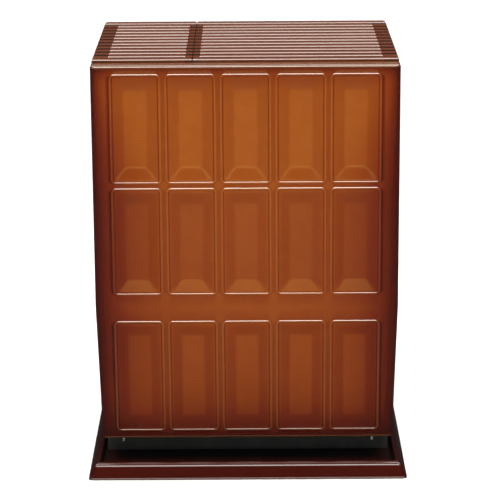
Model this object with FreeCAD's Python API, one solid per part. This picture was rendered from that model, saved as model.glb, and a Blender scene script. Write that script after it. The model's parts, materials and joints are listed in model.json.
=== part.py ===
import FreeCAD, Part
import math
import os

from FreeCAD import Vector

# Oil stove with a vaporising pot burner. Millimetres, +Z up, the front faces -Y.
# The origin is the centre of the floor tray's underside.

# Fits
SEAT_GAP = 0.2               # between a lid and what it rests on
PANEL_GAP = 0.3              # between neighbouring sheets
RUNNING_GAP = 0.05           # radial play of a pin in its bore
HOLE_GAP = 0.5               # radial play of a pipe or rod in a clearance hole

# Casing
SHEET = 1.5                  # steel sheet of every casing panel
PANEL_WIDTH = 560.0          # front panel over its side returns
PANEL_FOOT_WIDTH = 546.0     # front panel along its lower edge
PANEL_BOTTOM = 55.0          # height of the front panel's lower edge
PANEL_TOP = 773.0            # height of the front panel's top flange
KNEE_HEIGHT = 318.0          # height below which the front leans back
LEAN = 24.0                  # how far the lower edge lies behind the front plane
PANEL_RETURN = 45.0          # depth of the front panel's folded edges
PANEL_CORNER = 8.0           # radius of the front panel's upright corners
PANEL_EDGE = 6.0             # radius of the front panel's top and bottom folds
CASE_DEPTH = 465.0           # front plane to the outside of the rear panel
SIDE_START = 32.0            # front plane to the front edge of the side panels
REAR_FLANGE = 16.0           # width of the side panels' rear flange
SHIELD_X = -97.0             # face of the heat shield towards the tank
SHIELD_START = 52.0          # front plane to the front edge of the heat shield

# Floor tray and plinth
TRAY_SIDE_REACH = 17.0       # tray hem beyond the front panel at each side
TRAY_FRONT_REACH = 52.0      # tray hem ahead of the front plane
TRAY_REAR_REACH = 3.0        # tray hem behind the rear panel
TRAY_HEM = 2.5               # height of the hem along the foot of the slope
TRAY_LEDGE = 2.0             # width of the hem's top ahead of the slope
TRAY_SLOPE = 8.0             # tray hem to the top of the slope, in plan
TRAY_SLOPE_TOP = 20.5        # height at which the slope turns into the shoulder
TRAY_SHOULDER = 12.5         # radius of the rounded shoulder above the slope
SHOULDER_STEPS = 5           # flats that make up the shoulder's rounding
TRAY_BED_INSET = 21.5        # tray hem to the inner wall, in plan
TRAY_CORNER = 9.0            # plan radius of the tray's outer corners
PLINTH_SETBACK = 110.0       # front plane to the plinth's front
PLINTH_REAR_GAP = 8.0        # plinth's rear to the tray's inner wall
PLINTH_TOP = 62.0            # height of the base plate's underside
PEG_X = 236.0                # fixing pegs of the front panel, from the middle
PEG_SETBACK = 56.0           # front plane to the pegs' axes
PEG_RADIUS = 2.2
PEG_DROP = 16.0              # length of a peg below the front panel
PEG_NUT_RADIUS = 4.5
PEG_NUT_HEIGHT = 4.0

# Coffers of the front panel
COFFER_COLUMNS = 5
COFFER_SIDE_MARGIN = 32.7    # panel's side to the first frame
COFFER_EDGE_MARGIN = 15.0    # panel's top or lower edge to the nearest frame
COFFER_KNEE_MARGIN = 24.0    # knee to the frames above and below it
COFFER_SPACING = 5.4         # between neighbouring frames
BEAD_WIDTH = 6.0             # raised bead that frames a coffer
BEAD_HEIGHT = 2.6
BEAD_CORNER = 10.0           # outer corner radius of the bead
BEAD_ROUND = 1.8             # rounding of the bead's crown
DISH_DEPTH = 4.5             # depth of the dished field
DISH_LEDGE = 1.5             # flat ledge between bead and dish
DISH_SIDE_BEVEL = 21.0       # width of the dish's bevels at the sides
DISH_END_BEVEL = 26.0        # width of the dish's bevels at top and bottom

# Top grille
LID_START = 32.0             # front plane to the front edge of the lids
LID_DEPTH = 424.0
LID_INSET = 1.5              # front panel's side to the lids' outer edges
LID_PLATE = 2.5              # thickness of the lids' sheet
LID_CORNER = 22.0            # plan radius of the rear corners
LID_SEAM = 1.0               # gap between the lid and the flap
RIB_COUNT = 13
RIB_WIDTH = 18.0
RIB_HEIGHT = 3.5             # rib crown above the sheet, between the webs
WEB_RIB_HEIGHT = 1.6         # rib crown above the sheet, across the webs
RIB_END_MARGIN = 9.0         # lid edge to the first and last rib's middle
SLOT_ROUND = 0.45            # radius of a slot's ends, as a share of its width
WEB_END = 28.0               # solid web at the outer ends of the slots
WEB_MIDDLE = 12.5            # solid web on each side of the seam
FRAME_BORDER = 24.0          # width of the top frame's borders
HINGE_SETBACK = 5.0          # lid's rear edge to the hinge axis
KNUCKLE_RADIUS = 2.4
KNUCKLE_LENGTH = 12.0
HINGE_PIN_RADIUS = 1.2
LUG_THICKNESS = 4.0
LUG_HALF_DEPTH = 2.3
LUG_CREST = 1.8              # top of a lug above the hinge axis
LUG_DROP = 2.5               # foot of a lid's lugs below the top frame
LUG_PLAY = 0.4               # side play between knuckle and lug
HINGE_END_DISTANCE = 45.0    # lid's end to the middle of its hinge

# Rear panel
VENT_LENGTH = 150.0
VENT_HEIGHT = 7.0
VENT_PITCH = 18.0
VENT_ROWS = 5
VENT_BASE = 95.0             # height of the lowest vent
VENT_X = 120.0               # middle of a vent from the stove's middle
SCREW_RADIUS = 2.0
SCREW_HEAD_RADIUS = 4.5
SCREW_HEAD_HEIGHT = 2.5
SCREW_ROWS = 4
SCREW_END_MARGIN = 30.0      # rear panel's ends to the first and last screw

# Burner
BURNER_SETBACK = 224.0       # front plane to the burner's axis
POT_BOTTOM = 130.0           # height of the burner pot's underside
POT_RADIUS = 90.0
POT_WALL = 2.5
POT_HEIGHT = 150.0
POT_FLANGE_RADIUS = 150.0
POT_FLANGE = 3.0
AIR_HOLE_RADIUS = 2.5
AIR_HOLE_ROWS = 3
AIR_HOLE_PAIRS = 8
AIR_HOLE_PITCH = 32.0
AIR_HOLE_START = 45.0        # pot's underside to the lowest row of holes
STAND_OVERHANG = 8.0         # stand's outside beyond the pot
STAND_SEAT = 4.0             # width of the stand under the pot
STAND_WINDOW = 70.0          # width of the stand's air windows
STAND_RIM = 12.0             # height of the stand's closed rims
RING_BORE = 60.0             # bore of the burner ring
RING_RADIUS = 112.0
RING_THICKNESS = 3.0
INNER_RING_RADIUS = 46.0
INNER_RING_HEIGHT = 70.0
INNER_RING_SLOT = 9.0
TEE_RADIUS = 9.0             # oil inlet tee on the pot's front
TEE_LENGTH = 32.0
TEE_HEIGHT = 14.0            # pot's underside to the tee's axis
PLUNGER_RADIUS = 3.0
PLUNGER_REACH = 24.0         # plunger's shaft outside the tee
PLUNGER_KNOB_RADIUS = 7.0
PLUNGER_KNOB_LENGTH = 8.0

# Combustion drum and flue
GASKET_WIDTH = 14.0
GASKET_HEIGHT = 6.0
DRUM_RADIUS = 140.0
DRUM_WALL = 2.0
DRUM_HEIGHT = 348.0
DRUM_COVER = 3.0
DRUM_COVER_OVERHANG = 4.0
BAFFLE_THICKNESS = 4.0
BAFFLE_HEIGHT = 110.0        # drum's lower edge to the baffle
BAFFLE_GATE = 70.0           # depth of the gas passage ahead of the baffle
FLUE_RADIUS = 65.0           # outside of the spigot that the flue pipe slides over
FLUE_WALL = 1.5
FLUE_REACH = 60.0            # length of the spigot behind the duct's step
FLUE_STEP = 2.0              # duct's outside beyond the spigot's
FLUE_HEIGHT = 540.0          # height of the flue's axis
COLLAR_WIDTH = 20.0
COLLAR_THICKNESS = 2.0
HATCH_SETBACK = 50.0         # ignition hatch ahead of the burner's axis
HATCH_RADIUS = 46.0          # bore of the ignition hatch
HATCH_NECK_WALL = 3.0
HATCH_NECK_HEIGHT = 12.0
HATCH_LID_OVERHANG = 4.0
HATCH_LID_THICKNESS = 3.0
HATCH_HINGE_REACH = 6.0      # lid's rear edge to its hinge axis
WINDOW_RADIUS = 28.0
WINDOW_THICKNESS = 1.5
WINDOW_SIGHT_RADIUS = 22.0
WINDOW_RING_RADIUS = 33.0
WINDOW_RING_THICKNESS = 2.0
HATCH_KNOB_RADIUS = 6.0
HATCH_KNOB_HEIGHT = 18.0

# Oil tank and its fittings
TANK_SIDE_GAP = 8.0          # tank to the side panel and to the heat shield
TANK_START = 122.0           # front plane to the tank
TANK_REAR_GAP = 26.0         # tank to the rear panel
TANK_BOTTOM = 340.0
TANK_HEADROOM = 83.0         # tank's top to the front panel's top
TANK_CORNER = 12.0
BRACKET_WIDTH = 24.0
BRACKET_SHEET = 2.0
BRACKET_LEG = 18.0
BRACKET_INSET = 60.0         # tank's end to a bracket's middle
NECK_BORE = 20.5
NECK_WALL = 1.5
NECK_HEIGHT = 26.0
NECK_FLANGE_RADIUS = 32.0
NECK_FLANGE = 2.0
NECK_SETBACK = 110.0         # tank's front to the filler neck's axis
STRAINER_WALL = 0.6
STRAINER_DEPTH = 85.0
STRAINER_RIM = 1.0
CAP_WALL = 2.5
CAP_SKIRT = 8.0              # how far the cap reaches down over the neck
CAP_SIDE_GAP = 0.6
CAP_RIB_COUNT = 12
CAP_RIB_RADIUS = 1.5
GAUGE_SETBACK = 45.0         # tank's front to the gauge's axis
GAUGE_TUBE_BORE = 6.5
GAUGE_TUBE_WALL = 1.5
GAUGE_TUBE_HEIGHT = 42.0
GAUGE_TRAVEL = 30.0          # rise of the full-mark float
GAUGE_ROD_RADIUS = 2.0
GAUGE_HEAD_RADIUS = 5.5
GAUGE_HEAD_HEIGHT = 5.0
GAUGE_FLOAT_RADIUS = 18.0
GAUGE_FLOAT_HEIGHT = 30.0

# Regulator and pipes
OIL_LINE_X = -186.0          # valve, feed pipe and gauge
REGULATOR_WIDTH = 110.0
REGULATOR_DEPTH = 105.0
REGULATOR_HEIGHT = 55.0
REGULATOR_WALL = 4.0
REGULATOR_LID = 5.0
REGULATOR_SHELF = 120.0      # height of the regulator's underside
REGULATOR_START = 54.0       # front plane to the regulator
SHELF_SHEET = 2.0
FLOAT_SIZE = 48.0
FLOAT_HEIGHT = 22.0
FLOAT_ROUND = 2.0
PIPE_RADIUS = 5.0
PIPE_BORE = 4.0
NUT_RADIUS = 9.0             # over the corners of the pipe nuts
NUT_LENGTH = 10.0
VALVE_RADIUS = 9.0
VALVE_LENGTH = 36.0
VALVE_SETBACK = 26.0         # tank's front to the valve's axis
SPINDLE_RADIUS = 4.0
SPINDLE_REACH = 20.0
HANDLE_HUB_RADIUS = 7.5
HANDLE_LENGTH = 32.0
HANDLE_THICKNESS = 8.0
LEVER_HUB_RADIUS = 7.0
LEVER_LENGTH = 42.0
LEVER_THICKNESS = 5.0
LEVER_STUD_RADIUS = 3.0
LEVER_DROP = 14.0            # regulator's lid to the lever's axis
LEVER_INSET = 24.0           # regulator's right face to the lever's axis
ROD_RADIUS = 3.0             # control rod
ROD_X = -206.0
ROD_SETBACK = 84.0           # front plane to the control rod
DIAL_DROP = 55.0             # front panel's top to the dial plate's underside
DIAL_DEPTH = 64.0
KNOB_RADIUS = 22.0
KNOB_HEIGHT = 20.0
KNOB_RIB_COUNT = 16
KNOB_RIB_RADIUS = 1.6
KNOB_POINTER_WIDTH = 5.0
KNOB_POINTER_HEIGHT = 3.0
ROD_COLLAR_RADIUS = 7.0
ROD_COLLAR_HEIGHT = 6.0

# Places worked out from the sizes
TRAY_WIDTH = PANEL_WIDTH + 2 * TRAY_SIDE_REACH
TRAY_DEPTH = TRAY_FRONT_REACH + CASE_DEPTH + TRAY_REAR_REACH
FRONT_Y = TRAY_FRONT_REACH - TRAY_DEPTH / 2
REAR_Y = FRONT_Y + CASE_DEPTH
REAR_INSIDE = REAR_Y - SHEET
TRAY_LEAN = math.atan2(TRAY_SLOPE - TRAY_LEDGE, TRAY_SLOPE_TOP - TRAY_HEM)
TRAY_CREST = TRAY_SLOPE_TOP + TRAY_SHOULDER * (1 - math.sin(TRAY_LEAN))
BASE_TOP = PLINTH_TOP + SHEET
FRAME_UNDER = PANEL_TOP - SHEET
SIDE_OFFSET = SHEET + PANEL_GAP
SIDE_INSIDE = PANEL_WIDTH / 2 - SIDE_OFFSET - SHEET
LID_UNDER = PANEL_TOP + SEAT_GAP
LID_REAR = FRONT_Y + LID_START + LID_DEPTH
LID_END = PANEL_WIDTH / 2 - LID_INSET
SEAM_X = SHIELD_X + SHEET / 2
HINGE_Y = LID_REAR + HINGE_SETBACK
HINGE_Z = LID_UNDER
BURNER_X = (SHIELD_X + SHEET + SIDE_INSIDE) / 2
BURNER_Y = FRONT_Y + BURNER_SETBACK
POT_TOP = POT_BOTTOM + POT_HEIGHT
DRUM_BOTTOM = POT_TOP + GASKET_HEIGHT
DRUM_TOP = DRUM_BOTTOM + DRUM_HEIGHT
COVER_TOP = DRUM_TOP + DRUM_COVER
HATCH_Y = BURNER_Y - HATCH_SETBACK
HATCH_LID_UNDER = COVER_TOP + HATCH_NECK_HEIGHT + SEAT_GAP
HATCH_LID_RADIUS = HATCH_RADIUS + HATCH_NECK_WALL + HATCH_LID_OVERHANG
HATCH_HINGE_Y = HATCH_Y + HATCH_LID_RADIUS + HATCH_HINGE_REACH
HATCH_HINGE_Z = HATCH_LID_UNDER + KNUCKLE_RADIUS
TANK_LEFT = -SIDE_INSIDE + TANK_SIDE_GAP
TANK_RIGHT = SHIELD_X - TANK_SIDE_GAP
TANK_X = (TANK_LEFT + TANK_RIGHT) / 2
TANK_FRONT = FRONT_Y + TANK_START
TANK_REAR = REAR_INSIDE - TANK_REAR_GAP
TANK_TOP = PANEL_TOP - TANK_HEADROOM
NECK_Y = TANK_FRONT + NECK_SETBACK
NECK_TOP = TANK_TOP + NECK_HEIGHT
STRAINER_TOP = NECK_TOP + STRAINER_RIM
GAUGE_Y = TANK_FRONT + GAUGE_SETBACK
VALVE_Y = TANK_FRONT + VALVE_SETBACK
REGULATOR_FRONT = FRONT_Y + REGULATOR_START
REGULATOR_LEFT = OIL_LINE_X - REGULATOR_WIDTH / 2
REGULATOR_RIGHT = OIL_LINE_X + REGULATOR_WIDTH / 2
REGULATOR_TOP = REGULATOR_SHELF + REGULATOR_HEIGHT
REGULATOR_COVER = REGULATOR_TOP + REGULATOR_LID
TEE_Z = POT_BOTTOM + TEE_HEIGHT
TEE_FRONT = BURNER_Y - POT_RADIUS - TEE_LENGTH
TEE_Y = TEE_FRONT + TEE_LENGTH / 2
ROD_Y = FRONT_Y + ROD_SETBACK
DIAL_HEIGHT = PANEL_TOP - DIAL_DROP
DIAL_TOP = DIAL_HEIGHT + SHEET

X_AXIS = Vector(1, 0, 0)
Y_AXIS = Vector(0, 1, 0)
Z_AXIS = Vector(0, 0, 1)
HATCH_HINGE = Vector(BURNER_X, HATCH_HINGE_Y, HATCH_HINGE_Z)
OVERCUT = 1.0                # how far a cutting solid runs past the face it opens
SHEET_CUT = SHEET + 2 * OVERCUT


def box(x0, x1, y0, y1, z0, z1):
    return Part.makeBox(x1 - x0, y1 - y0, z1 - z0, Vector(x0, y0, z0))


def rod(start, axis, radius, length):
    return Part.makeCylinder(radius, length, start, axis)


def sleeve(start, axis, outer, inner, length):
    return rod(start, axis, outer, length).cut(rod(start, axis, inner, length))


def hexagon(start, axis, corner_radius, bore, length):
    """Hexagonal nut with a plain bore."""
    side = X_AXIS if abs(axis.x) < 0.5 else Y_AXIS
    other = axis.cross(side)
    points = []
    for step in range(7):
        angle = math.radians(60 * step)
        outward = side * math.cos(angle) + other * math.sin(angle)
        points.append(start + outward * corner_radius)
    body = Part.Face(Part.makePolygon(points)).extrude(axis * length)
    return body.cut(rod(start - axis * OVERCUT, axis, bore, length + 2 * OVERCUT))


def outline(points, radii):
    """Closed wire through the points, with each corner rounded by its radius."""
    count = len(points)
    starts = []
    ends = []
    arcs = []
    for i, point in enumerate(points):
        back = (points[i - 1] - point).normalize()
        ahead = (points[(i + 1) % count] - point).normalize()
        half = back.getAngle(ahead) / 2
        reach = radii[i] / math.tan(half)
        inward = (back + ahead).normalize() * (radii[i] / math.sin(half) - radii[i])
        starts.append(point + back * reach)
        ends.append(point + ahead * reach)
        arcs.append(Part.Arc(starts[i], point + inward, ends[i]).toShape() if radii[i] > 0 else None)
    edges = []
    for i in range(count):
        if arcs[i]:
            edges.append(arcs[i])
        edges.append(Part.makeLine(ends[i], starts[(i + 1) % count]))
    return Part.Wire(edges)


def rectangle(x0, x1, y0, y1, z, radius):
    """Level rounded rectangle as a wire."""
    points = [Vector(x0, y0, z), Vector(x1, y0, z), Vector(x1, y1, z), Vector(x0, y1, z)]
    return outline(points, [radius] * 4)


def flat_face(face):
    """The same face as a true plane if all of its edges are straight, or else the face itself."""
    corners = [vertex.Point for vertex in face.OuterWire.OrderedVertexes]
    polygon = Part.makePolygon(corners + corners[:1])
    straight = abs(polygon.Length - face.OuterWire.Length) < 1e-6
    return Part.Face(polygon) if straight else face


def loft(wires):
    """Solid with straight sides between the wires; each flat side is a true plane."""
    body = Part.makeLoft(wires, True, True)
    shell = Part.makeShell([flat_face(face) for face in body.Faces])
    shell.sewShape()
    solid = Part.makeSolid(shell)
    return solid if solid.Volume > 0 else solid.reversed()


def prism(points, direction):
    """Solid swept along the direction from a flat polygon."""
    return Part.Face(Part.makePolygon(points + [points[0]])).extrude(direction)


def fillet_level(shape, radius, z, keep_y):
    """Rounds the edges that lie level at z, except those at keep_y."""
    chosen = []
    for edge in shape.Edges:
        box_of = edge.BoundBox
        level = abs(box_of.ZMin - z) < 1e-6 and abs(box_of.ZMax - z) < 1e-6
        straight_back = abs(box_of.YMin - keep_y) < 1e-6 and abs(box_of.YMax - keep_y) < 1e-6
        if level and not straight_back:
            chosen.append(edge)
    return shape.makeFillet(radius, chosen)


def lean_share(z):
    return max(0.0, (KNEE_HEIGHT - z) / (KNEE_HEIGHT - PANEL_BOTTOM))


def panel_half(z):
    """Half of the front panel's outer width at a height."""
    return PANEL_WIDTH / 2 - lean_share(z) * (PANEL_WIDTH - PANEL_FOOT_WIDTH) / 2


def panel_front(z):
    """Front plane of the front panel at a height."""
    return FRONT_Y + LEAN * lean_share(z)


def side_outside(z):
    """Outer face of a side panel at a height, from the stove's middle."""
    return panel_half(z) - SIDE_OFFSET


def tray_outline(inset, z):
    half = TRAY_WIDTH / 2 - inset
    deep = TRAY_DEPTH / 2 - inset
    return rectangle(-half, half, -deep, deep, z, TRAY_CORNER)


def tray_shoulder(depth):
    """Outlines of the rounded shoulder from the slope to the crest, a depth below its outer face."""
    outlines = []
    for step in range(SHOULDER_STEPS + 1):
        turn = TRAY_LEAN + (math.pi / 2 - TRAY_LEAN) * step / SHOULDER_STEPS
        inset = TRAY_SLOPE + TRAY_SHOULDER * (math.cos(TRAY_LEAN) - math.cos(turn))
        height = TRAY_SLOPE_TOP + TRAY_SHOULDER * (math.sin(turn) - math.sin(TRAY_LEAN))
        outlines.append(tray_outline(inset + depth * math.cos(turn), height - depth * math.sin(turn)))
    return outlines


def make_floor_tray():
    """Pressed tray: flat bed, inner wall, rounded shoulder, sloped rim and hem, hollow under the rim."""
    hem = Part.Face(tray_outline(0, 0)).extrude(Z_AXIS * TRAY_HEM)
    rim = hem.fuse(loft([tray_outline(TRAY_LEDGE, 0), tray_outline(TRAY_LEDGE, TRAY_HEM)] + tray_shoulder(0)))
    wall = TRAY_LEDGE + SHEET / math.cos(TRAY_LEAN)
    under = loft([tray_outline(wall, -OVERCUT), tray_outline(wall, TRAY_HEM)] + tray_shoulder(SHEET))
    core = Part.Face(tray_outline(TRAY_BED_INSET - SHEET, -2 * OVERCUT))
    under = under.cut(core.extrude(Z_AXIS * (TRAY_CREST + 3 * OVERCUT)))
    bed = Part.Face(tray_outline(TRAY_BED_INSET, SHEET)).extrude(Z_AXIS * TRAY_CREST)
    return rim.cut([under, bed])


def make_plinth():
    half = side_outside(PANEL_BOTTOM) - SHEET - PANEL_GAP
    front = FRONT_Y + PLINTH_SETBACK
    rear = TRAY_DEPTH / 2 - TRAY_BED_INSET - PLINTH_REAR_GAP
    body = box(-half, half, front, rear, SHEET, PLINTH_TOP)
    low = SHEET - OVERCUT
    room = box(SHEET - half, half - SHEET, front + SHEET, rear - SHEET, low, PLINTH_TOP + OVERCUT)
    return body.cut(room)


def make_base_plate():
    """Case floor, with an air opening under the burner and holes for the pegs."""
    half = side_outside(PLINTH_TOP) - SHEET - PANEL_GAP
    front = panel_front(PANEL_BOTTOM) + SHEET + DISH_DEPTH + PANEL_GAP
    plate = box(-half, half, front, REAR_INSIDE - SHEET - PANEL_GAP, PLINTH_TOP, BASE_TOP)
    low = PLINTH_TOP - OVERCUT
    cuts = [rod(Vector(BURNER_X, BURNER_Y, low), Z_AXIS, POT_RADIUS - STAND_SEAT, SHEET_CUT)]
    for x in (-PEG_X, PEG_X):
        cuts.append(rod(Vector(x, FRONT_Y + PEG_SETBACK, low), Z_AXIS, PEG_RADIUS + RUNNING_GAP, SHEET_CUT))
    return plate.cut(cuts)


def side_profile(offset, y, top):
    """Upright cross-section line of a side panel: foot, knee and top."""
    heights = (PANEL_BOTTOM, KNEE_HEIGHT, top)
    return [Vector(side_outside(z) - offset, y, z) for z in heights]


def make_side_panel(side):
    """Side panel that follows the front's taper, with a rear flange."""
    start = FRONT_Y + SIDE_START
    wall = side_profile(0, start, FRAME_UNDER) + side_profile(SHEET, start, FRAME_UNDER)[::-1]
    panel = prism(wall, Y_AXIS * (REAR_INSIDE - start))
    flange_y = REAR_INSIDE - SHEET
    flange = side_profile(0, flange_y, FRAME_UNDER) + side_profile(REAR_FLANGE, flange_y, FRAME_UNDER)[::-1]
    panel = panel.fuse(prism(flange, Y_AXIS * SHEET)).removeSplitter()
    for x, z in screw_places():
        if x > 0:
            hole = rod(Vector(x, flange_y - OVERCUT, z), Y_AXIS, SCREW_RADIUS + RUNNING_GAP, SHEET_CUT)
            panel = panel.cut(hole)
    near = start - OVERCUT
    fold_end = FRONT_Y + PANEL_RETURN + PANEL_GAP
    top_notch = box(0, PANEL_WIDTH, near, fold_end, FRAME_UNDER - PANEL_EDGE, PANEL_TOP)
    foot_notch = box(0, PANEL_WIDTH, near, fold_end + LEAN, 0, PANEL_BOTTOM + PANEL_EDGE)
    panel = panel.cut([top_notch, foot_notch])
    if side < 0:
        panel = panel.mirror(Vector(0, 0, 0), X_AXIS)
    return panel


def screw_places():
    """Rear panel screws, as X and Z."""
    first = PANEL_BOTTOM + SCREW_END_MARGIN
    step = (FRAME_UNDER - SCREW_END_MARGIN - first) / (SCREW_ROWS - 1)
    places = []
    for row in range(SCREW_ROWS):
        z = first + row * step
        x = side_outside(z) - SHEET - REAR_FLANGE / 2
        places.extend([(-x, z), (x, z)])
    return places


def make_rear_panel():
    """Rear sheet with the flue hole, two stacks of vents and its screw holes."""
    right = side_profile(0, REAR_INSIDE, FRAME_UNDER)
    left = [Vector(-p.x, p.y, p.z) for p in right]
    panel = prism(right + left[::-1], Y_AXIS * SHEET)
    near = REAR_INSIDE - OVERCUT
    flue_hole = FLUE_RADIUS + FLUE_STEP + HOLE_GAP
    cuts = [rod(Vector(BURNER_X, near, FLUE_HEIGHT), Y_AXIS, flue_hole, SHEET_CUT)]
    for x, z in screw_places():
        cuts.append(rod(Vector(x, near, z), Y_AXIS, SCREW_RADIUS + RUNNING_GAP, SHEET_CUT))
    for x in (-VENT_X, VENT_X):
        vent_start = x - VENT_LENGTH / 2
        vent_end = x + VENT_LENGTH / 2
        for row in range(VENT_ROWS):
            low = VENT_BASE + row * VENT_PITCH
            cuts.append(box(vent_start, vent_end, near, REAR_Y + OVERCUT, low, low + VENT_HEIGHT))
    return panel.cut(cuts)


def make_rear_panel_screws():
    screws = []
    for x, z in screw_places():
        head = rod(Vector(x, REAR_Y, z), Y_AXIS, SCREW_HEAD_RADIUS, SCREW_HEAD_HEIGHT)
        shank = rod(Vector(x, REAR_INSIDE - 2 * SHEET, z), Y_AXIS, SCREW_RADIUS, 3 * SHEET)
        screws.append(head.fuse(shank).removeSplitter())
    return Part.makeCompound(screws)


def panel_body(inset, beads):
    """Solid of the front panel's outer form with its beads, or of the room inside its sheet."""
    wires = []
    for z in (PANEL_BOTTOM + inset, KNEE_HEIGHT, PANEL_TOP - inset):
        half = panel_half(z) - inset
        front = panel_front(z) + inset
        rear = panel_front(z) + PANEL_RETURN + (OVERCUT if inset else 0)
        corners = [(-half, front), (half, front), (half, rear), (-half, rear)]
        points = [Vector(x, y, z) for x, y in corners]
        corner = PANEL_CORNER - inset
        wires.append(outline(points, [corner, corner, 0, 0]))
    body = loft(wires)
    for bead in beads:
        body = body.fuse(bead)
    for wire in (wires[0], wires[-1]):
        z = wire.BoundBox.ZMin
        body = fillet_level(body, PANEL_EDGE - inset, z, wire.BoundBox.YMax)
    return body


def coffer_rows():
    """Middle height and slope length of each row of coffers."""
    room = PANEL_TOP - COFFER_EDGE_MARGIN - KNEE_HEIGHT - COFFER_KNEE_MARGIN
    upper = (room - COFFER_SPACING) / 2
    slope = math.hypot(LEAN, KNEE_HEIGHT - PANEL_BOTTOM)
    lower = slope - COFFER_EDGE_MARGIN - COFFER_KNEE_MARGIN
    along = COFFER_KNEE_MARGIN + lower / 2
    top = PANEL_TOP - COFFER_EDGE_MARGIN - upper / 2
    low = KNEE_HEIGHT - along * (KNEE_HEIGHT - PANEL_BOTTOM) / slope
    return [(top, upper), (top - upper - COFFER_SPACING, upper), (low, lower)]


def upright_wire(half_width, half_height, y, radius):
    """Rounded rectangle around the origin in an upright plane."""
    points = [
        Vector(-half_width, y, -half_height),
        Vector(half_width, y, -half_height),
        Vector(half_width, y, half_height),
        Vector(-half_width, y, half_height),
    ]
    return outline(points, [radius] * 4)


def make_coffer(width, height):
    """Bead, backing and dish of one coffer, around the origin of an upright sheet at y = 0."""
    crown = Part.Face(upright_wire(width / 2, height / 2, SHEET / 2, BEAD_CORNER))
    inner_corner = BEAD_CORNER - BEAD_WIDTH
    hole = Part.Face(upright_wire(width / 2 - BEAD_WIDTH, height / 2 - BEAD_WIDTH, SHEET / 2, inner_corner))
    bead = crown.cut(hole).extrude(Y_AXIS * -(BEAD_HEIGHT + SHEET / 2))
    crest = [edge for edge in bead.Edges if edge.BoundBox.YMax < OVERCUT - BEAD_HEIGHT]
    bead = bead.makeFillet(BEAD_ROUND, crest)
    mouth_x = width / 2 - BEAD_WIDTH - DISH_LEDGE
    mouth_z = height / 2 - BEAD_WIDTH - DISH_LEDGE
    floor_x = mouth_x - DISH_SIDE_BEVEL
    floor_z = mouth_z - DISH_END_BEVEL
    dish = loft([upright_wire(mouth_x, mouth_z, 0, 0), upright_wire(floor_x, floor_z, DISH_DEPTH, 0)])
    lip = loft([upright_wire(mouth_x, mouth_z, -OVERCUT, 0), upright_wire(mouth_x, mouth_z, 0, 0)])
    root = [upright_wire(mouth_x, mouth_z, SHEET / 2, 0), upright_wire(mouth_x, mouth_z, SHEET, 0)]
    backing = loft(root + [upright_wire(floor_x, floor_z, SHEET + DISH_DEPTH, 0)])
    return bead, backing, dish.fuse(lip)


def make_front_panel():
    """Pressed front: folded edges, a knee, and rows of framed dishes."""
    grid = PANEL_WIDTH - 2 * COFFER_SIDE_MARGIN
    width = (grid - (COFFER_COLUMNS - 1) * COFFER_SPACING) / COFFER_COLUMNS
    lean_angle = math.degrees(math.atan2(LEAN, KNEE_HEIGHT - PANEL_BOTTOM))
    coffers = []
    for z, height in coffer_rows():
        angle = lean_angle if z < KNEE_HEIGHT else 0
        for column in range(COFFER_COLUMNS):
            x = (column - (COFFER_COLUMNS - 1) / 2) * (width + COFFER_SPACING)
            coffer = make_coffer(width, height)
            for shape in coffer:
                shape.rotate(Vector(0, 0, 0), X_AXIS, angle)
                shape.translate(Vector(x, panel_front(z), z))
            coffers.append(coffer)
    beads, backings, dishes = zip(*coffers)
    panel = panel_body(0, beads).cut(panel_body(SHEET, ()))
    panel = panel.fuse(backings).cut(dishes)
    for x in (-PEG_X, PEG_X):
        start = Vector(x, FRONT_Y + PEG_SETBACK, PANEL_BOTTOM - OVERCUT)
        panel = panel.cut(rod(start, Z_AXIS, PEG_RADIUS + RUNNING_GAP, SHEET_CUT))
    return panel


def make_panel_pegs():
    """Plated pegs with nuts that hold the front panel to the base plate."""
    pegs = []
    for x in (-PEG_X, PEG_X):
        start = Vector(x, FRONT_Y + PEG_SETBACK, PANEL_BOTTOM - PEG_DROP)
        shank = rod(start, Z_AXIS, PEG_RADIUS, PEG_DROP + BASE_TOP - PANEL_BOTTOM)
        seat = Vector(x, FRONT_Y + PEG_SETBACK, PANEL_BOTTOM - PEG_NUT_HEIGHT)
        nut = hexagon(seat, Z_AXIS, PEG_NUT_RADIUS, PEG_RADIUS, PEG_NUT_HEIGHT)
        pegs.append(shank.fuse(nut).removeSplitter())
    return Part.makeCompound(pegs)


def make_heat_shield():
    """Upright sheet between the tank and the burner, with a hole for the burner pipe."""
    start = FRONT_Y + SHIELD_START
    sheet = box(SHIELD_X, SHIELD_X + SHEET, start, REAR_INSIDE - PANEL_GAP, BASE_TOP, FRAME_UNDER)
    hole = rod(Vector(SHIELD_X - OVERCUT, TEE_Y, TEE_Z), X_AXIS, PIPE_RADIUS + HOLE_GAP, SHEET_CUT)
    return sheet.cut(hole)


def lid_spans():
    """Left and right ends of the control flap and of the grille lid."""
    return (-LID_END, SEAM_X - LID_SEAM / 2), (SEAM_X + LID_SEAM / 2, LID_END)


def lid_hinges(span):
    """Middles of the two hinges of a lid."""
    places = (span[0] + HINGE_END_DISTANCE, span[1] - HINGE_END_DISTANCE)
    return [Vector(x, HINGE_Y, HINGE_Z) for x in places]


def add_lugs(plate, hinge, foot):
    """Fuses a hinge's two lugs onto a plate; they rise from the foot's height."""
    front = hinge.y - LUG_HALF_DEPTH
    rear = hinge.y + LUG_HALF_DEPTH
    for side in (-1, 1):
        near = hinge.x + side * (KNUCKLE_LENGTH / 2 + LUG_PLAY)
        low = min(near, near + side * LUG_THICKNESS)
        lug = box(low, low + LUG_THICKNESS, front, rear, foot, hinge.z + LUG_CREST)
        start = Vector(low - OVERCUT, hinge.y, hinge.z)
        bore = rod(start, X_AXIS, HINGE_PIN_RADIUS + RUNNING_GAP, LUG_THICKNESS + 2 * OVERCUT)
        plate = plate.fuse(lug).cut(bore)
    return plate


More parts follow.
